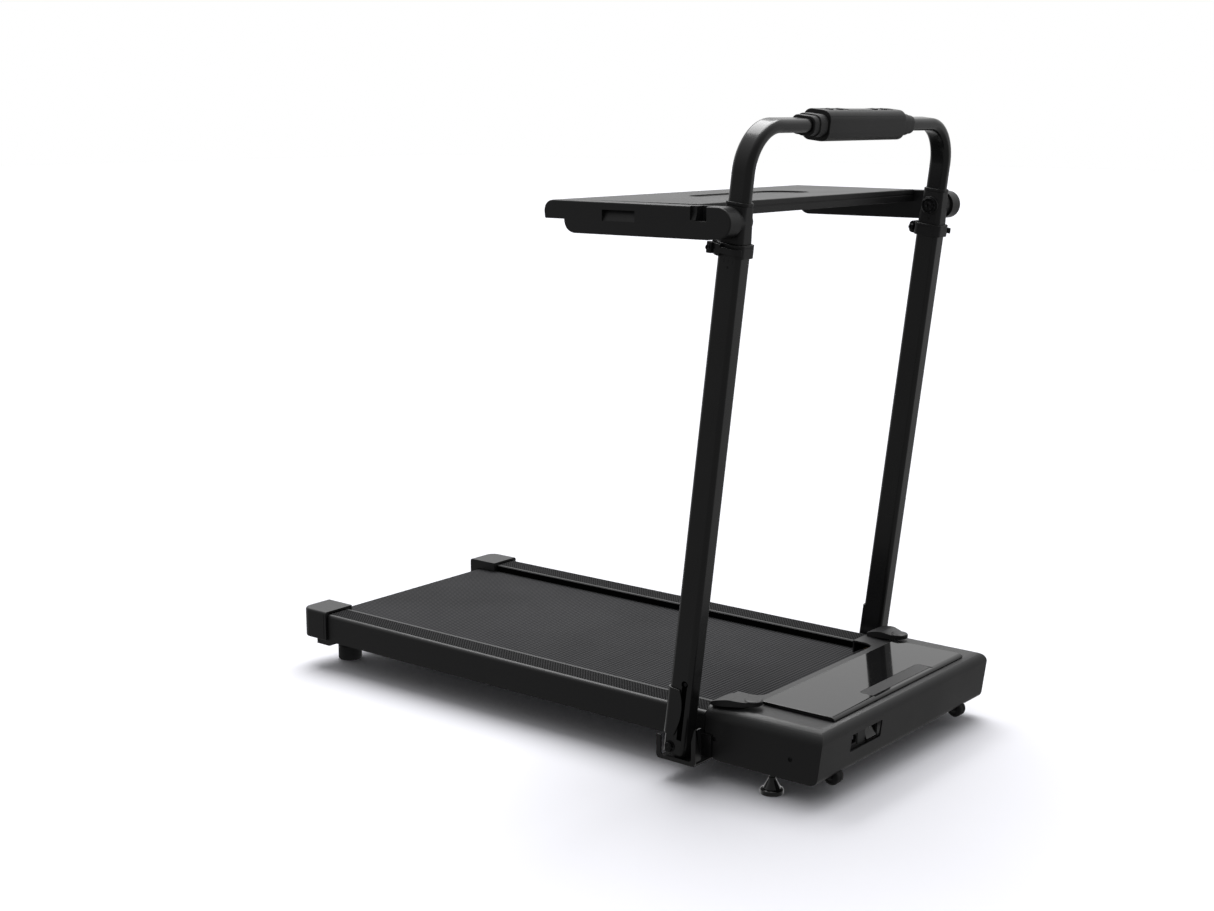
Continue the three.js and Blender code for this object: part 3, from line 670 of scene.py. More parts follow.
class TREADMILL_OT_rails(Builder, bpy.types.Operator):
    """Foot rails with a rolled outer edge, an inner lip and an inlaid grip strip"""
    bl_idname = "treadmill.rails"
    bl_label = "Foot rails"

    def build(self, context):
        inner, outer, bottom, top = RAIL_LOW[0], RAIL_HIGH[0], RAIL_LOW[2], RAIL_HIGH[2]
        lip, skin, roll = BELT_HIGH[2] + 0.8, 3, 7
        profile = [(outer, bottom)]
        profile += arc(outer - roll, top - roll, roll, 0, 90)
        profile += [(inner + 50, top), (inner + 50, top - 1), (inner + 7, top - 1), (inner + 7, top),
                    (inner + 1.5, top), (inner, top - 1.5), (inner, lip), (inner + skin, lip),
                    (inner + skin, top - skin), (outer - roll, top - skin)]
        profile += arc(outer - roll, top - roll, roll - skin, 90, 0)[1:]
        profile += [(outer - skin, bottom)]
        rail = soften(slab("rail", profile, "Y", RAIL_LOW[1], RAIL_HIGH[1]), 0.5, 2, 50)
        place_pair(rail, "foot_rail", "base", PLASTIC)
        strip = block("strip", (inner + 7.3, RAIL_LOW[1] + 1, top - 0.9),
                      (inner + 49.7, RAIL_HIGH[1] - 1, top + 0.4))
        soften(strip, 0.3, 2)
        place_pair(strip, "grip_strip", "base", RIBBED, False)
        # a near-black strip on the rail's inner face: painted shade of the gap between rail and belt
        gap_shade = block("gap_shade", (inner - 0.6, RAIL_LOW[1] + 1, lip),
                      (inner - 0.02, RAIL_HIGH[1] - 1, top - 2))
        place_pair(gap_shade, "rail_gap_shade", "base", PAINTED_SHADE, False)


class TREADMILL_OT_caps(Builder, bpy.types.Operator):
    """Rear end caps that close the rails and clear the belt"""
    bl_idname = "treadmill.caps"
    bl_label = "Rear end caps"

    def build(self, context):
        inner, front, low = CAP_LOW
        outer, rear, top = CAP_HIGH
        corner = 22
        plan = [(inner, front), (outer, front)]
        plan += arc(outer - corner, rear - corner, corner, 0, 90)
        plan += [(inner, rear)]
        cap = slab("cap", plan, "Z", low, top)
        round_where(cap, 5, 5, lambda p: p.z > top - 0.1 and (p.y > front + 1 or p.x > outer - 1))
        round_where(cap, 3, 4, lambda p: p.z < low + 0.1)
        radius = (BELT_HIGH[2] - BELT_LOW[2]) / 2 + 1.5
        clear = [(front - 10, ROLLER_Z - radius)] + arc(ROLLER_Y, ROLLER_Z, radius, -90, 90, 24)
        clear += [(front - 10, ROLLER_Z + radius)]
        carve(cap, slab("clear", clear, "X", inner - 5, BELT_HIGH[0] + 4),
              block("room", (BELT_HIGH[0] + 3, front - 5, low - 5),
                    (outer - 9, rear - 10, top - 4)))
        ridge = block("ridge", (outer - 1.2, front + 5.5, low + 4), (outer + 2, front + 6.5, top - 6))
        carve(cap, ridge)
        place_pair(cap, "rear_cap", "base", PLASTIC)


class TREADMILL_OT_feet(Builder, bpy.types.Operator):
    """Rear pads and the threaded levelling feet at the motor end"""
    bl_idname = "treadmill.feet"
    bl_label = "Feet"

    def build(self, context):
        x, y, _ = centre_of("right_rear_foot")
        top = span("right_rear_foot")[1][2]
        pad = [(0, 0), (20, 0), (22, 0.6), (23.4, 2), (24, 4), (24, 28), (23.4, 30), (22, 31),
               (22, top), (0, top)]
        place_pair(turned("pad", pad, (x, y, 0)), "rear_foot", "base", RUBBER)
        x, y, _ = centre_of("right_levelling_foot")
        top = span("right_levelling_foot")[1][2]
        cone = [(0, 0), (18, 0), (19.5, 0.7), (20, 2.2), (20, 6.5), (19.3, 8), (17.5, 9), (15, 10),
                (8.5, 22), (7, 25), (6.5, 27), (6.5, 29), (5, 29.5), (5, top), (0, top)]
        place_pair(turned("cone", cone, (x, y, 0)), "levelling_foot", "{side}_levelling_foot", HARD_RUBBER)


# ---- motor end ------------------------------------------------------------------------------
HOOD_SCREWS = [(side, y) for y in (-410, -563) for side in (-1, 1)]
HOOD_SCREW_Z = 70
RUN_OUT = 25    # how far the hood's room runs out below its open underside


def hood_side(inset):
    """Side outline of the hood in (y, z), `inset` inside its outer face."""
    top, rear, front = HOOD_HIGH[2] - inset, HOOD_HIGH[1] - inset, HOOD_LOW[1] + inset
    low = HOOD_LOW[2] + (inset - RUN_OUT if inset else 0)
    nose, chin = 22, 107
    line = [(-425, low)]
    line += curve((-425, low), (rear, low), (rear, 66 + inset))
    line += [(rear, top), (front + nose, top)]
    line += curve((front + nose, top), (front, top), (front, chin), 12)
    line += [(front + 8, 46)]
    line += curve((front + 8, 46), (front + 10, low), (front + 28, low))
    return line


class TREADMILL_OT_hood(Builder, bpy.types.Operator):
    """The motor hood: a thin moulding with two ears round the belt's mouth"""
    bl_idname = "treadmill.hood"
    bl_label = "Motor hood"

    def build(self, context):
        half, wall, edge = HOOD_HIGH[0], 3, 24
        hood = slab("motor_hood_skin", hood_side(0), "X", -half, half)
        round_where(hood, 4, 4, lambda p: abs(p.x) > half - 0.1)
        shell = rounded(2 * half, 240, edge, 0, HOOD_HIGH[2] - 120, 10)
        combine(hood, slab("crown", shell, "Y", -640, -380), "INTERSECT")
        room = slab("room", hood_side(wall), "X", -half + wall, half - wall)
        inside = rounded(2 * (half - wall), 240, edge - 3, 0, HOOD_HIGH[2] - 120 - wall, 6)
        combine(room, slab("ceiling", inside, "Y", -640, -380), "INTERSECT")
        carve(hood, room, self.mouth(), block("belt_way", (-281, -400, 0), (281, -380, 102)),
              block("underside", (-half + wall, -594, 0), (half - wall, -425, 40)))
        low, high = span("power_socket")
        carve(hood, slab("socket_way", rounded(high[0] - low[0] + 0.6, high[2] - low[2] + 0.6, 3,
              (low[0] + high[0]) / 2, (low[2] + high[2]) / 2, 4), "Y", -640, -580))
        for side in ("right", "left"):
            low, high = span(f"{side}_caster_wheel")
            _, y, z = centre_of(f"{side}_caster_wheel")
            carve(hood, shaft("well", 17, "X", low[0] + 2.5, high[0] - 2.5, y, z))
        for side, y in HOOD_SCREWS:
            carve(hood, shaft("screw_well", 4.2, "X", side * (half + 5), side * (half - 1.6),
                              y, HOOD_SCREW_Z, 24))
        place(hood, "base", PLASTIC, ["motor_hood"])

    def mouth(self):
        ear, edge = 193, -440
        plan = [(-ear, -380), (-ear, edge + 26)]
        plan += curve((-ear, edge + 26), (-ear + 1, edge), (-ear + 24, edge), 10)
        plan += [(ear - 24, edge)] + curve((ear - 24, edge), (ear - 1, edge), (ear, edge + 26), 10)
        plan += [(ear, -380)]
        return slab("mouth", plan, "Z", 0, 150)


class TREADMILL_OT_hood_trim(Builder, bpy.types.Operator):
    """The polished top panel with its inlay, and the cover screws"""
    bl_idname = "treadmill.hood_trim"
    bl_label = "Hood trim"

    def build(self, context):
        sizes = context.scene.treadmill_sizes
        half, rear, front = PANEL_HIGH[0], PANEL_HIGH[1], PANEL_LOW[1]
        low, top = PANEL_LOW[2], PANEL_HIGH[2]
        side = [(rear - 4, low), (front, low), (front, low + 2.5)]
        side += curve((front, low + 2.5), (front + 1, top - 0.3), (front + 9, top), 6)
        side += [(rear - 2, top - 1)] + curve((rear - 2, top - 1), (rear, top - 1), (rear, low + 3), 4)
        panel = slab("hood_top_panel_skin", side, "X", -half, half)
        soften(panel, 0.9, 3)
        left, right, back = -86, 119, front + 37
        recess = slab("recess", rounded(right - left, 60, 9, (left + right) / 2, back - 30, 8), "Z",
                      top - 0.8, top + 5)
        carve(panel, recess)
        inlay = slab("inlay", rounded(right - left - 1, 59, 8.5, (left + right) / 2, back - 30, 8), "Z",
                     top - 0.78, top - 0.3)
        carve(inlay, block("beyond", (-half, front - 40, 0), (half, front + 9.5, 200)))
        soften(inlay, 0.2, 2)
        place(group("panel_inlay", inlay), "base", PLASTIC)
        dot = soften(shaft("dot", 2, "Z", top - 1, top - 0.15, left + 4, front + 13, 16), 0.2, 2)
        place(group("panel_screw", dot), "base", BLACKENED)
        place(panel, "base", GLOSS, ["hood_top_panel"])
        screws = []
        for side, y in HOOD_SCREWS:
            x = side * (HOOD_HIGH[0] - 1.4)
            head = shaft("head", sizes.screw, "X", x - side * 1.5, x + side * 0.6, y, HOOD_SCREW_Z, 24)
            soften(head, 0.5, 2)
            screws.append(carve(head, shaft("drive", 1.5, "X", x, x + side * 3, y, HOOD_SCREW_Z, 6)))
        place(group("hood_screws", *screws), "base", BLACKENED)


class TREADMILL_OT_socket(Builder, bpy.types.Operator):
    """The socket panel with its inlet, and the rocker of the mains switch"""
    bl_idname = "treadmill.socket"
    bl_label = "Power socket and switch"

    def build(self, context):
        low, high = span("power_socket")
        rock_low, rock_high = span("rocker_switch")
        face, back = low[1], high[1]
        middle = (low[2] + high[2]) / 2 + 0.5
        inlet = (-186 - 162) / 2
        panel = slab("power_socket_skin", rounded(high[0] - low[0], high[2] - low[2], 2.5,
                     (low[0] + high[0]) / 2, (low[2] + high[2]) / 2, 4), "Y", face, back)
        soften(panel, 0.5, 2)
        cut = [(inlet - 12, middle - 8), (inlet + 12, middle - 8), (inlet + 12, middle + 4),
               (inlet + 8, middle + 8), (inlet - 8, middle + 8), (inlet - 12, middle + 4)]
        frame_cut = [(inlet - 15.5, middle - 12), (inlet + 15.5, middle - 12),
                     (inlet + 15.5, middle + 12), (inlet - 15.5, middle + 12)]
        switch = (rock_low[0] + rock_high[0]) / 2
        carve(panel, slab("frame_step", frame_cut, "Y", face - 2, face + 1.2),
              slab("inlet_well", cut, "Y", face - 2, face + 17),
              block("switch_well", (switch - 17, face - 2, middle - 14.5),
                    (switch + 17, face + 16, middle + 13)))
        blades = [block("blade", (inlet + x - 1, face + 4, middle - 3),
                        (inlet + x + 1, face + 17.5, middle + 3)) for x in (-7, 0, 7)]
        place(panel, "base", PLASTIC, ["power_socket"])
        place(group("inlet_blades", *[soften(blade, 0.4, 2) for blade in blades]), "base", ZINC)
        heads = [shaft("head", 1.7, "Y", face + 0.3, face + 1.6, inlet + x, middle - 0.5, 16)
                 for x in (-13.8, 13.8)]
        heads = [soften(head, 0.3, 2) for head in heads]
        place(group("inlet_screws", *heads), "base", BLACKENED)
        self.rocker(rock_low, rock_high, middle)

    def rocker(self, low, high, middle):
        side = [(high[1], low[2]), (high[1], high[2])]
        side += [(low[1] + 4, high[2])]
        side += curve((low[1] + 4, high[2]), (low[1] + 6.5, middle), (low[1], low[2]), 8)
        rocker = soften(slab("rocker_switch_skin", side, "X", low[0], high[0]), 0.8, 3)
        place(rocker, "rocker_switch", GLOSS, ["rocker_switch"])
        centre = (low[0] + high[0]) / 2
        bar = block("bar", (centre - 0.7, low[1] + 4.1, middle + 3),
                    (centre + 0.7, low[1] + 4.7, middle + 9))
        place(bar, "rocker_switch", PRINT_ON_GLOSS)


class TREADMILL_OT_casters(Builder, bpy.types.Operator):
    """Transport castors: tyre, hub and forked bracket"""
    bl_idname = "treadmill.casters"
    bl_label = "Transport castors"

    def build(self, context):
        low, high = span("right_caster_wheel")
        x, y, z = centre_of("right_caster_wheel")
        radius = (high[2] - low[2]) / 2
        tread = [(0, -9.5), (3.6, -9.5), (3.6, -7.5), (10.5, -7.5), (11, -9.2), (13.6, -9.2),
                 (radius, -7.4), (radius, -1.2), (radius - 0.8, -0.8), (radius - 0.8, 0.8), (radius, 1.2),
                 (radius, 7.4), (13.6, 9.2), (11, 9.2), (10.5, 7.5), (3.6, 7.5), (3.6, 9.5), (0, 9.5)]
        wheel = turned("wheel", tread, (x, y, z), "X", 40)
        axle = shaft("axle", 3, "X", x - 13.2, x + 13.2, y, z, 20)
        place_pair(group("wheel", wheel, axle), "caster_wheel", "{side}_caster_wheel", RUBBER)
        _, rear, top = span("right_caster_bracket")[1]
        top -= 2
        outline = arc(y, z, 5.2, 200, 320, 6) + [(rear, top - 4), (rear, top), (y - 3, top)]
        bridge = block("bridge", (x - 13, rear - 4, top - 4), (x + 13, rear - 0.2, top - 0.2))
        parts = [soften(bridge, 0.4, 2)]
        for side in (-1, 1):
            cheek = slab("cheek", outline, "X", x + side * 12 - 1.5, x + side * 12 + 1.5)
            carve(cheek, shaft("bore", 3.3, "X", x - 20, x + 20, y, z, 20))
            parts.append(soften(cheek, 0.4, 2, 50))
        place_pair(group("bracket", *parts), "caster_bracket", "base", PAINT)


class TREADMILL_OT_pedals(Builder, bpy.types.Operator):
    """Release pedals: a leaf-shaped moulding that rises to a two-layered toe pad"""
    bl_idname = "treadmill.pedals"
    bl_label = "Release pedals"

    def build(self, context):
        low, high = span("right_release_pedal")
        pad_x, pad_y, radius = 247, low[1] + 16, 16
        plan = [(282, -396)] + curve((282, -396), (284, -430), (pad_x + radius, pad_y), 12)
        plan += arc(pad_x, pad_y, radius, 0, -180, 20)
        plan += curve((pad_x - radius, pad_y), (228, -430), (234, -397), 12)
        plan += curve((234, -397), (258, -390), (282, -396), 12)
        leaf = slab("leaf", plan, "Z", 120, 150)
        top = high[2]
        side = [(-388, low[2] + 0.4)] + curve((-388, low[2] + 0.4), (-404, top - 2), (-432, top), 12)
        side += [(-452, top - 2.2), (-485, top - 2.2), (-485, low[2] + 6.2)]
        side += curve((-485, low[2] + 6.2), (-440, low[2] + 2), (-402, low[2]), 10)
        combine(leaf, slab("side", side, "X", 200, 300), "INTERSECT")
        soften(leaf, 1.3, 3, 40)
        groove = turned("groove", [(radius - 1.3, 1.7), (radius + 4, 1.7), (radius + 4, 2.6),
                                   (radius - 1.3, 2.6), (radius - 1.3, 1.7)], (pad_x, pad_y, top - 5.2))
        carve(leaf, groove)
        pad = turned("pad", [(0, -1), (radius - 1.5, -1), (radius - 0.6, -0.4), (radius - 0.4, 0.6),
                             (radius - 1.6, 1.8), (radius - 4, 2.2), (0, 2.3)], (pad_x, pad_y, top - 2.3))
        place_pair(group("pedal", leaf, pad), "release_pedal", "{side}_release_pedal", PLASTIC)


# ---- mast -----------------------------------------------------------------------------------


class TREADMILL_OT_mast_foot(Builder, bpy.types.Operator):
    """Base brackets pressed from plate, and the hexagon bolts that the mast folds on"""
    bl_idname = "treadmill.mast_foot"
    bl_label = "Mast feet"

    def build(self, context):
        low, high = span("right_base_bracket")
        inner, outer, plate, bottom, top, lip, post = 291, high[0], 3, low[2], high[2], 77, 9
        front, rear, bend = low[1], high[1], 9
        rim = curve((rear - bend, bottom), (rear, bottom), (rear, bottom + bend), 6)
        rim += [(rear, lip), (rear - post, lip)]
        web, inside_rear, inside_front = bottom + 7, rear - post, front + post
        rim += curve((inside_rear, web + 7), (inside_rear, web), (inside_rear - 7, web), 5)
        rim += curve((inside_front + 7, web), (inside_front, web), (inside_front, web + 7), 5)
        rim += [(front + post, lip), (front + plate, top), (front, top)]
        rim += curve((front, bottom + bend), (front, bottom), (front + bend, bottom), 6)
        box = slab("bracket", rim, "X", outer - plate, outer)
        weld(box, block("return", (outer - 16, front, bottom + bend), (outer, front + plate, top)),
             block("cheek", (inner, -407, bottom), (inner + plate, -330, lip)),
             block("sole", (inner, -407, bottom), (outer - 1, -330, bottom + plate)),
             block("tongue", (245, -386, bottom), (inner + 1, -330, bottom + plate)),
             block("pad", (245, -386, bottom), (279, -330, 57.7)))
        carve(box, shaft("bore", 5.3, "X", 280, outer + 10, PIVOT_Y, PIVOT_Z))
        soften(box, 0.7, 2, 50)
        place_pair(box, "base_bracket", "base", PAINT)
        face = span("right_pivot_bolt")[1][0]
        head = soften(shaft("head", 8, "X", face - 4, face, PIVOT_Y, PIVOT_Z, 6), 0.7, 2)
        washer = soften(shaft("washer", 10, "X", face - 4.7, face - 3.5, PIVOT_Y, PIVOT_Z), 0.3, 2)
        stem = shaft("stem", 5, "X", 290.6, face - 1, PIVOT_Y, PIVOT_Z)
        place_pair(group("bolt", head, washer, stem), "pivot_bolt", "base", BLACKENED)


class TREADMILL_OT_uprights(Builder, bpy.types.Operator):
    """The two mast tubes, each with a keyhole slot, and the shroud round each foot"""
    bl_idname = "treadmill.uprights"
    bl_label = "Uprights"

    def build(self, context):
        width, depth, wall, corner, top = 35, 44, 2, 8, 859.5
        tube = about_tube("tube", width, depth, corner, -12, top)
        carve(tube, about_tube("bore", width - 2 * wall, depth - 2 * wall, corner - wall, -20, top + 10),
              shaft("bolt_way", 5.3, "X", MAST_X - 25, MAST_X + 25, 0, 0),
              block("slot", (MAST_X + 10, -22, 16), (MAST_X + 20, -12, 115)),
              shaft("slot_head", 6.5, "X", MAST_X + 10, MAST_X + 20, -16.5, 117))
        place_pair(lean(tube), "upright", "mast", PAINT)
        shroud = about_tube("shroud", width + 5.6, depth + 5.6, corner + 2, 22, 106)
        round_where(shroud, 1.2, 3, lambda p: p.z > 105.9)
        front = [(-60, 0), (-6, 0), (-6, 22)] + curve((-6, 22), (-27, 70), (-9, 106), 16)
        front += [(-9, 120), (-60, 120)]
        carve(shroud, about_tube("tube_way", width + 0.6, depth + 0.6, corner, 10, 115),
              slab("front", front, "X", MAST_X - 30, MAST_X + 30),
              block("inboard", (MAST_X - 30, -60, 0), (MAST_X - width / 2 - 0.3, 60, 120)))
        soften(shroud, 0.4, 2, 50)
        place_pair(lean(shroud), "foot_shroud", "mast", PAINTED_COVER)
        # a near-black block inside the tube behind the slot: painted shade of the tube's inside
        shade = block("shade", (MAST_X + 9, -23, 12), (MAST_X + 13, -8, 125))
        place_pair(lean(shade), "slot_shade", "mast", PAINTED_SHADE, False)
        screw = soften(shaft("screw", 3.2, "X", MAST_X + 12.5, MAST_X + 16, -16.5, 117, 20), 0.6, 2)
        place_pair(lean(screw), "tube_screw", "mast", BLACKENED, False)


class TREADMILL_OT_clamps(Builder, bpy.types.Operator):
    """Split collars with their cross bolts and quick-release levers"""
    bl_idname = "treadmill.clamps"
    bl_label = "Clamps"

    def build(self, context):
        low, high, middle, bolt_y = 838, 860, 849, 27
        ring = about_tube("ring", 44, 53, 11, low, high)
        lug = [(12, low), (bolt_y - 3, low)] + arc(bolt_y, low + 7, 7, -90, 0, 8)
        lug += arc(bolt_y, high - 7, 7, 0, 90, 8) + [(12, high)]
        collar = weld(ring, slab("lug", lug, "X", MAST_X - 9, MAST_X + 9))
        soften(collar, 1.2, 3, 50)
        band = about_tube("band", 60, 70, 12, high - 4.6, high - 3.8)
        carve(band, about_tube("core", 43, 52, 10.5, low, high + 5),
              block("rear", (MAST_X - 12, 12, low), (MAST_X + 12, 60, high + 5)))
        carve(collar, band, about_tube("tube_way", 35.6, 44.6, 8, 800, 900),
              block("split", (MAST_X - 1.5, 12, 800), (MAST_X + 1.5, 60, 900)),
              shaft("bolt_way", 3.3, "X", MAST_X - 20, MAST_X + 20, bolt_y, middle, 24))
        place_pair(lean(collar), "clamp_collar", "mast", PLASTIC)
        acorn = [(0, -17), (2.5, -16.8), (4.6, -15.6), (5.6, -13.6), (6, -12.4), (6, -9.3), (0, -9.3)]
        nut = turned("nut", acorn, (MAST_X, bolt_y, middle), "X", 24)
        stem = shaft("stem", 3, "X", MAST_X - 13, MAST_X + 12.5, bolt_y, middle, 20)
        place_pair(lean(group("bolt", nut, stem)), "clamp_bolt", "mast", BLACKENED)
        x, y, side = MAST_X + 19, bolt_y, MAST_X + 24
        lever = arc(x, y, 6, -90, 180, 18)
        lever += curve((x - 6, y), (x + 1, y - 8), (side, 8), 8)
        lever += [(side, -18)] + curve((side, -18), (side, -28), (x, -33), 6)
        lever += [(x + 4, -36)] + curve((x + 4, -36), (side + 5, -30), (side + 5, -18), 6)
        lever += [(side + 5, 10)]
        arm = slab("lever", lever, "Z", middle - 9, middle + 9)
        for z in (middle + 5, middle - 5 - 30):
            carve(arm, block("waist", (side - 30, -60, z), (side + 30, 2, z + 30)))
        soften(arm, 1.2, 3, 50)
        head = soften(shaft("head", 4.4, "X", x + 6.1, x + 8, y, middle, 24), 0.8, 2)
        carve(head, shaft("drive", 1.8, "X", x + 6.8, x + 12, y, middle, 6))
        place_pair(lean(arm), "clamp_lever", "{side}_clamp_lever", PLASTIC)
        place_pair(lean(head), "lever_screw", "{side}_clamp_lever", BLACKENED, False)
        marks = [block("mark", (MAST_X + 17.3, y - 0.6, low - 9), (MAST_X + 17.65, y + 0.6, low - 3))
                 for y in (-17, -9, -1)]
        dot = soften(shaft("dot", 2, "X", MAST_X + 17.2, MAST_X + 18.3, -8, low - 16, 20), 0.3, 2)
        place_pair(lean(group("marks", dot, *marks)), "height_marks", "mast", RUBBER, False)


class TREADMILL_OT_handlebar(Builder, bpy.types.Operator):
    """The inner bar, bent twice, that slides in the uprights"""
    bl_idname = "treadmill.handlebar"
    bl_label = "Handlebar"

    def build(self, context):
        bend, top, low = 74, 1043, 640
        section = rounded(22, 38, 9, -MAST_X, TUBE_Y, 8)
        bar = chain("handlebar_skin", [(x, y, low) for x, y in section], True)
        edit(bar, "FACE")
        extrude(0, 0, top - bend - low)
        self.turn(-MAST_X + bend, top - bend)
        extrude(2 * (MAST_X - bend), 0, 0)
        self.turn(MAST_X - bend, top - bend)
        extrude(0, 0, low + bend - top)
        select()
        bpy.ops.mesh.remove_doubles(threshold=1e-6)
        select("DESELECT")
        bpy.ops.mesh.select_interior_faces()
        bpy.ops.mesh.delete(type="ONLY_FACE")
        face_out()
        place(lean(bar), "handlebar", PAINT, ["handlebar"])

    def turn(self, x, z):
        """Spins the open end a quarter turn, over the top from left to right."""
        bpy.ops.mesh.spin(steps=16, angle=math.pi / 2, center=Vector((x, TUBE_Y, z)) * MM,
                          axis=(0, -1, 0))


class TREADMILL_OT_hinges(Builder, bpy.types.Operator):
    """Cast sleeves round the bar's legs that carry the desk's hinge pins"""
    bl_idname = "treadmill.hinges"
    bl_label = "Desk hinges"

    def build(self, context):
        low, high, lip = 860.4, 925, 6
        body = about_tube("body", 36, 45, 9, low, high - lip)
        edit_edges(body, lambda p: p.z > high - lip - 1)
        bpy.ops.transform.resize(value=(0.8, 0.88, 1),
                                 center_override=Vector((MAST_X, TUBE_Y, high)) * MM)
        leave_edit()
        rim = about_tube("rim", 30.5, 42, 10, high - lip, high)
        soften(rim, 1.4, 3, 60)
        boss = soften(shaft("boss", 21, "X", MAST_X, 345 - GAP, TUBE_Y, HINGE_AT, 48), 1.5, 3)
        seat = soften(shaft("seat", 17, "X", MAST_X - 19, MAST_X, TUBE_Y, HINGE_AT, 48), 1.2, 3)
        weld(body, rim, boss, seat)
        soften(body, 0.6, 2, 60)
        carve(body, about_tube("bar_way", 22.6, 38.6, 9, 800, 990))
        place_pair(lean(body), "hinge_casting", "handlebar", PLASTIC)
        x = MAST_X - 19 - GAP
        disc = [(0, 0), (14, 0), (14.5, -0.6), (14.5, -2.2), (13.6, -3), (11.8, -3), (11.2, -1.6),
                (10.2, -1.6), (9.6, -2.6), (4.4, -2.9), (3.2, -2.6), (2.9, -0.8), (0, -0.8)]
        cover = turned("cover", disc, (x, TUBE_Y, HINGE_AT), "X")
        stem = shaft("stem", 6, "X", x - 0.4, 367, TUBE_Y, HINGE_AT)
        place_pair(lean(group("pin", cover, stem)), "hinge_pin", "handlebar", BLACKENED)
        screw = shaft("screw", 2.4, "X", MAST_X - 18.9, MAST_X - 17.2, TUBE_Y, HINGE_AT - 24, 20)
        soften(screw, 0.4, 2)
        place_pair(lean(screw), "hinge_screw", "handlebar", RUBBER, False)


# ---- console --------------------------------------------------------------------------------
BAR_TOP = 1043
CONSOLE_HALF, SLEEVE_HALF, CONSOLE_DEPTH, CONSOLE_TALL = 124, 164, 54, 51
KEYS = (-88, -56, 56, 88)


class TREADMILL_OT_console(Builder, bpy.types.Operator):
    """The console: a lower shell with sleeves, a moulded cover, a display strip and four keys"""
    bl_idname = "treadmill.console"
    bl_label = "Console"

    def build(self, context):
        split_at = BAR_TOP + 16
        lower = self.half_shell("console_housing_skin", split_at, True)
        sleeve = slab("sleeve", rounded(46, 32, 12, TUBE_Y, BAR_TOP, 8), "X", -SLEEVE_HALF, SLEEVE_HALF)
        soften(sleeve, 2, 3, 60)
        step = SLEEVE_HALF - 16
        collar = slab("collar", rounded(49, 37, 14, TUBE_Y, BAR_TOP, 8), "X", -step, step)
        soften(collar, 1.5, 3, 60)
        weld(lower, sleeve, collar)
        carve(lower, slab("bar_way", rounded(38.6, 22.6, 9, TUBE_Y, BAR_TOP, 8), "X", -200, 200))
        place(lean(lower), "handlebar", PLASTIC, ["console_housing"])
        cover = self.half_shell("console_cover_skin", split_at + GAP, False)
        top = BAR_TOP + CONSOLE_TALL / 2
        tray = slab("tray", rounded(206, 27, 6, 0, TUBE_Y, 5), "Z", top - 0.8, top + 3)
        carve(cover, tray)
        for x in KEYS:
            carve(cover, shaft("well", 6.9, "Z", split_at + 3, top + 3, x, TUBE_Y, 32))
        place(lean(cover), "handlebar", COVER, ["console_cover"])
        glass = soften(slab("glass", rounded(80, 18, 3, 0, TUBE_Y, 5), "Z", top - 0.7, top + 0.3), 0.3, 2)
        place(lean(group("console_display", glass)), "handlebar", GLOSS)
        for number, x in enumerate(KEYS, 1):
            self.key(number, x, split_at + 4.5, top + 1.2)

    def half_shell(self, name, split_at, below):
        body = slab(name, rounded(CONSOLE_DEPTH, CONSOLE_TALL, 16, TUBE_Y, BAR_TOP, 10), "X",
                    -CONSOLE_HALF, CONSOLE_HALF)
        round_where(body, 17, 8, lambda p: abs(p.x) > CONSOLE_HALF - 0.1)
        edit(body, "FACE")
        bpy.ops.mesh.bisect(plane_co=(0, 0, split_at * MM), plane_no=(0, 0, 1), use_fill=True,
                            clear_outer=below, clear_inner=not below)
        leave_edit()
        return body

    def key(self, number, x, low, high):
        profile = [(0, low), (6.5, low), (6.5, high - 0.8), (6.2, high - 0.3), (5.5, high), (0, high - 0.25)]
        cap = turned(f"console_button_{number}_skin", profile, (x, TUBE_Y, 0), "Z", 32)
        body = f"console_button_{number}"
        place(lean(cap), body, PLASTIC, [body])
        z = high + 0.05
        across = block("across", (x - 2.6, TUBE_Y - 0.5, z - 0.4), (x + 2.6, TUBE_Y + 0.5, z))
        signs = [across]
        if number in (2, 4):
            signs.append(block("along", (x - 0.5, TUBE_Y - 2.6, z - 0.4), (x + 0.5, TUBE_Y + 2.6, z)))
        place(lean(group(f"key_sign_{number}", *signs)), body, PRINT_ON_SATIN)


# ---- desk -----------------------------------------------------------------------------------


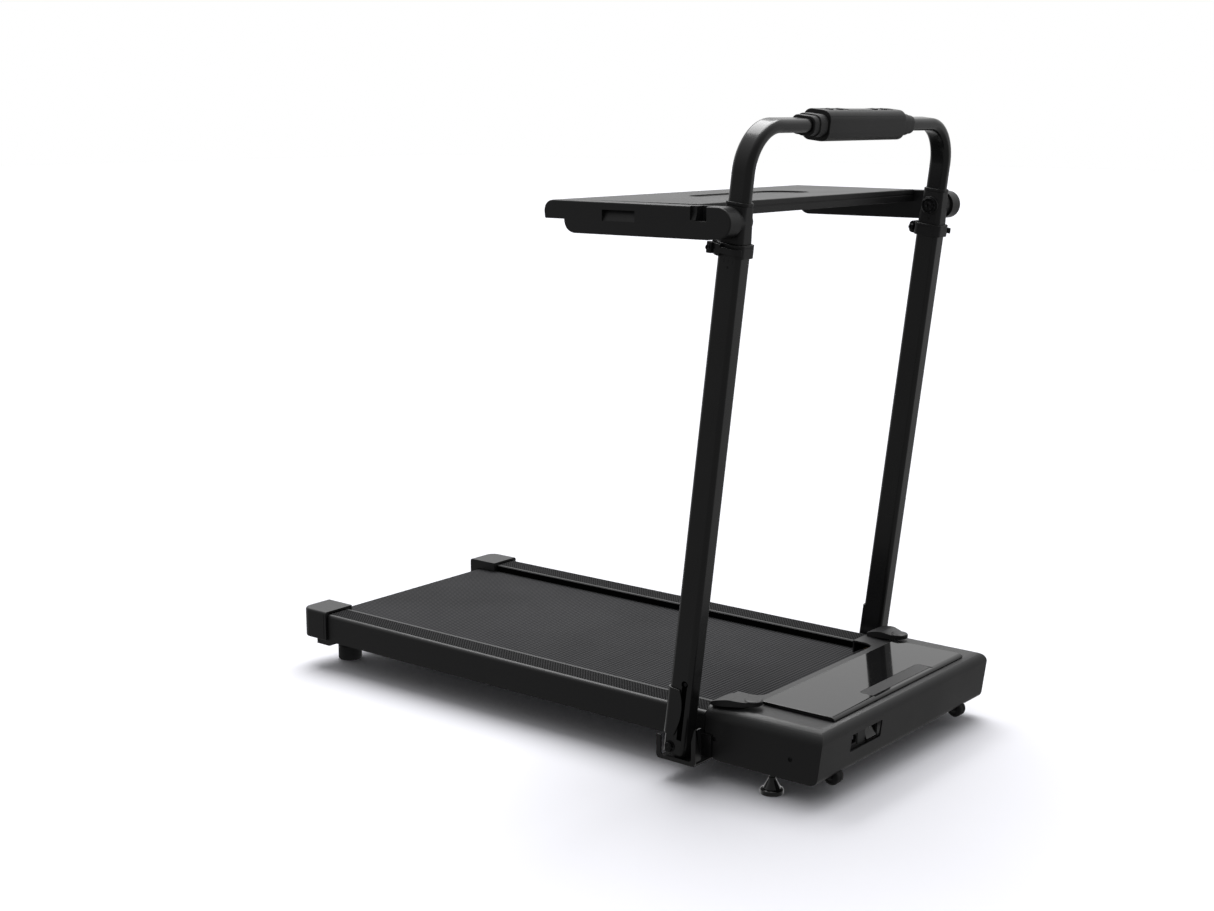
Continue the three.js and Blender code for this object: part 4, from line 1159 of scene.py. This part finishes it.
class TREADMILL_OT_desk(Builder, bpy.types.Operator):
    """The desk board with its shallow tray, and the arms it hangs from"""
    bl_idname = "treadmill.desk"
    bl_label = "Desk"

    def build(self, context):
        half, front, nose, top = DESK_HIGH[0], DESK_LOW[1], DESK_HIGH[1], DESK_HIGH[2]
        under, drop = 949, DESK_LOW[2]
        side = [(front, top - 1), (front, top - 9), (front + 1.2, top - 9), (front + 1.2, top - 11),
                (front, top - 11), (front, under), (nose - 40, under)]
        side += curve((nose - 40, under), (nose - 30, drop), (nose - 12, drop), 6)
        side += curve((nose - 12, drop), (nose - 1, drop), (nose - 1, drop + 4), 6)
        side += [(nose, top - 19)] + curve((nose, top - 19), (nose - 1, top), (nose - 22, top), 12)
        side += [(front + 1, top)]
        board = slab("desk_top_skin", side, "X", -half, half)
        tray = slab("tray", rounded(290, 97, 40, 0, -271, 12), "Z", top - 3, top + 5)
        round_where(tray, 1.5, 3, lambda p: p.z < top - 2.9)
        carve(board, tray)
        soften(board, 0.5, 2, 60)
        place(board, "desk", PLASTIC, ["desk_top"])
        self.arms()

    def arms(self):
        inner, outer, nose, top, low = ARM_LOW[0], ARM_HIGH[0], ARM_HIGH[1], ARM_HIGH[2], ARM_LOW[2]
        side = [(nose, top - 19)] + curve((nose, top - 19), (nose - 1, top), (nose - 22, top), 12)
        side += [(HINGE_Y + 13, top - 1.6)]
        side += arc(HINGE_Y, HINGE_Z, 25, 90, 270, 28)
        side += [(HINGE_Y + 20, low), (-176, low)]
        side += curve((-176, low), (-156, low + 1.5), (-154, 940), 8)
        side += [(nose - 4, 940)] + curve((nose - 4, 940), (nose - 1, 940), (nose - 1, 944), 4)
        arm = slab("arm", side, "X", inner, outer)
        round_where(arm, 3.5, 5, lambda p: p.x > outer - 0.1)
        notch = block("notch", (outer - 22, -443.5, 946), (outer + 5, -421.5, 990))
        lead = slab("lead", [(outer - 6, 990), (outer + 5, 990), (outer + 5, 948), (outer - 2, 948),
                             (outer - 6, 960)], "Y", -422, -412)
        carve(arm, lead)
        grip = slab("grip", [(outer - 9, 958), (outer + 5, 958), (outer + 5, 940), (outer - 1.5, 940)],
                    "Y", -302.5, -235.5)
        carve(arm, soften(notch, 1, 2), grip,
              shaft("bore", 6.3, "X", inner - 1, outer - 7, HINGE_Y, HINGE_Z))
        place_pair(arm, "desk_arm", "desk", PLASTIC)


# ---- pieces kept from the frame -------------------------------------------------------------


class TREADMILL_OT_frame_finish(Builder, bpy.types.Operator):
    """Finishes for the CAD pieces that stay as they are: frame, deck board, rollers and drive"""
    bl_idname = "treadmill.frame_finish"
    bl_label = "Frame finishes"

    def build(self, context):
        finishes = {
            "powder_coat": ("left_side_frame", "right_side_frame", "front_crossmember",
                            "middle_crossmember", "rear_crossmember", "belly_pan", "drive_motor",
                            "motor_controller"),
            "fibreboard": ("deck_board",),
            "soft_rubber": ("drive_belt",),
            "zinc_plate": ("front_roller", "rear_roller", "motor_pulley"),
        }
        for name, nodes in finishes.items():
            for node in nodes:
                cover(frame["nodes"][node].data, name)


# ---- stage ----------------------------------------------------------------------------------


class TREADMILL_OT_stage(Builder, bpy.types.Operator):
    """A pale floor, soft light from above and behind, and the camera"""
    bl_idname = "treadmill.stage"
    bl_label = "Stage"

    def build(self, context):
        deselect()
        bpy.ops.mesh.primitive_plane_add(size=60, location=(0, 0, 0))
        floor = bpy.context.object
        floor.name = "studio_floor"
        floor.data.materials.append(finish_of("studio_floor"))
        floor.visible_glossy = False
        floor.visible_diffuse = False
        self.sun()
        self.world(context.scene)
        self.camera(context.scene)
        context.scene.view_settings.view_transform = "Standard"

    def sun(self):
        deselect()
        bpy.ops.object.light_add(type="SUN", rotation=(math.radians(-18), math.radians(22), 0))
        light = bpy.context.object.data
        light.energy = 2.9
        light.angle = math.radians(50)

    def world(self, scene):
        """White to the camera; lights the pieces from above and behind, and dimly from the front."""
        world = bpy.data.worlds.new("studio")
        scene.world = world
        world.use_nodes = True
        tree = world.node_tree
        tree.nodes.clear()
        new, link = tree.nodes.new, tree.links.new
        seen, light = new("ShaderNodeBackground"), new("ShaderNodeBackground")
        seen.inputs["Color"].default_value = (1, 1, 1, 1)
        coordinate, facing = new("ShaderNodeTexCoord"), new("ShaderNodeVectorMath")
        facing.operation = "DOT_PRODUCT"
        facing.inputs[1].default_value = (0.62, 0.5, 0.6)
        fall = new("ShaderNodeMapRange")
        fall.interpolation_type = "SMOOTHSTEP"
        for name, value in (("From Min", -0.35), ("From Max", 0.9), ("To Min", 0.215), ("To Max", 0.86)):
            fall.inputs[name].default_value = value
        link(coordinate.outputs["Generated"], facing.inputs[0])
        link(facing.outputs["Value"], fall.inputs["Value"])
        link(fall.outputs["Result"], light.inputs["Strength"])
        rays, mix = new("ShaderNodeLightPath"), new("ShaderNodeMixShader")
        output = new("ShaderNodeOutputWorld")
        link(rays.outputs["Is Camera Ray"], mix.inputs[0])
        link(light.outputs[0], mix.inputs[1])
        link(seen.outputs[0], mix.inputs[2])
        link(mix.outputs[0], output.inputs["Surface"])

    def camera(self, scene):
        deselect()
        bpy.ops.object.camera_add(location=(-2.6233, -2.045, 1.1147))
        camera = bpy.context.object
        camera.data.lens = 52.35
        camera.data.sensor_width = 36
        azimuth, elevation = math.radians(-51.34), math.radians(11.04)
        camera.rotation_euler = (math.pi / 2 - elevation, 0, azimuth)
        scene.camera = camera


class TREADMILL_PT_panel(bpy.types.Panel):
    """Lists the builders of the treadmill's pieces"""
    bl_label = "Treadmill"
    bl_idname = "TREADMILL_PT_panel"
    bl_space_type = "VIEW_3D"
    bl_region_type = "UI"
    bl_category = "Treadmill"

    def draw(self, context):
        for settings in (context.scene.treadmill_look, context.scene.treadmill_sizes):
            for name in type(settings).__annotations__:
                self.layout.prop(settings, name)
        for operator in OPERATORS:
            self.layout.operator(operator.bl_idname)


OPERATORS = (
    TREADMILL_OT_stage, TREADMILL_OT_belt, TREADMILL_OT_rails, TREADMILL_OT_caps, TREADMILL_OT_feet,
    TREADMILL_OT_hood, TREADMILL_OT_hood_trim, TREADMILL_OT_socket, TREADMILL_OT_casters,
    TREADMILL_OT_pedals, TREADMILL_OT_mast_foot, TREADMILL_OT_uprights, TREADMILL_OT_clamps,
    TREADMILL_OT_handlebar, TREADMILL_OT_hinges, TREADMILL_OT_console, TREADMILL_OT_desk,
    TREADMILL_OT_frame_finish,
)
CLASSES = (TreadmillLook, TreadmillSizes) + OPERATORS + (TREADMILL_PT_panel,)


def register():
    for cls in CLASSES:
        bpy.utils.register_class(cls)
    bpy.types.Scene.treadmill_look = bpy.props.PointerProperty(type=TreadmillLook)
    bpy.types.Scene.treadmill_sizes = bpy.props.PointerProperty(type=TreadmillSizes)


def unregister():
    del bpy.types.Scene.treadmill_look
    del bpy.types.Scene.treadmill_sizes
    for cls in reversed(CLASSES):
        bpy.utils.unregister_class(cls)


def main():
    register()
    for operator in OPERATORS:
        getattr(bpy.ops.treadmill, operator.bl_idname.split(".")[1])()
    deselect()


if __name__ == "__main__":
    main()
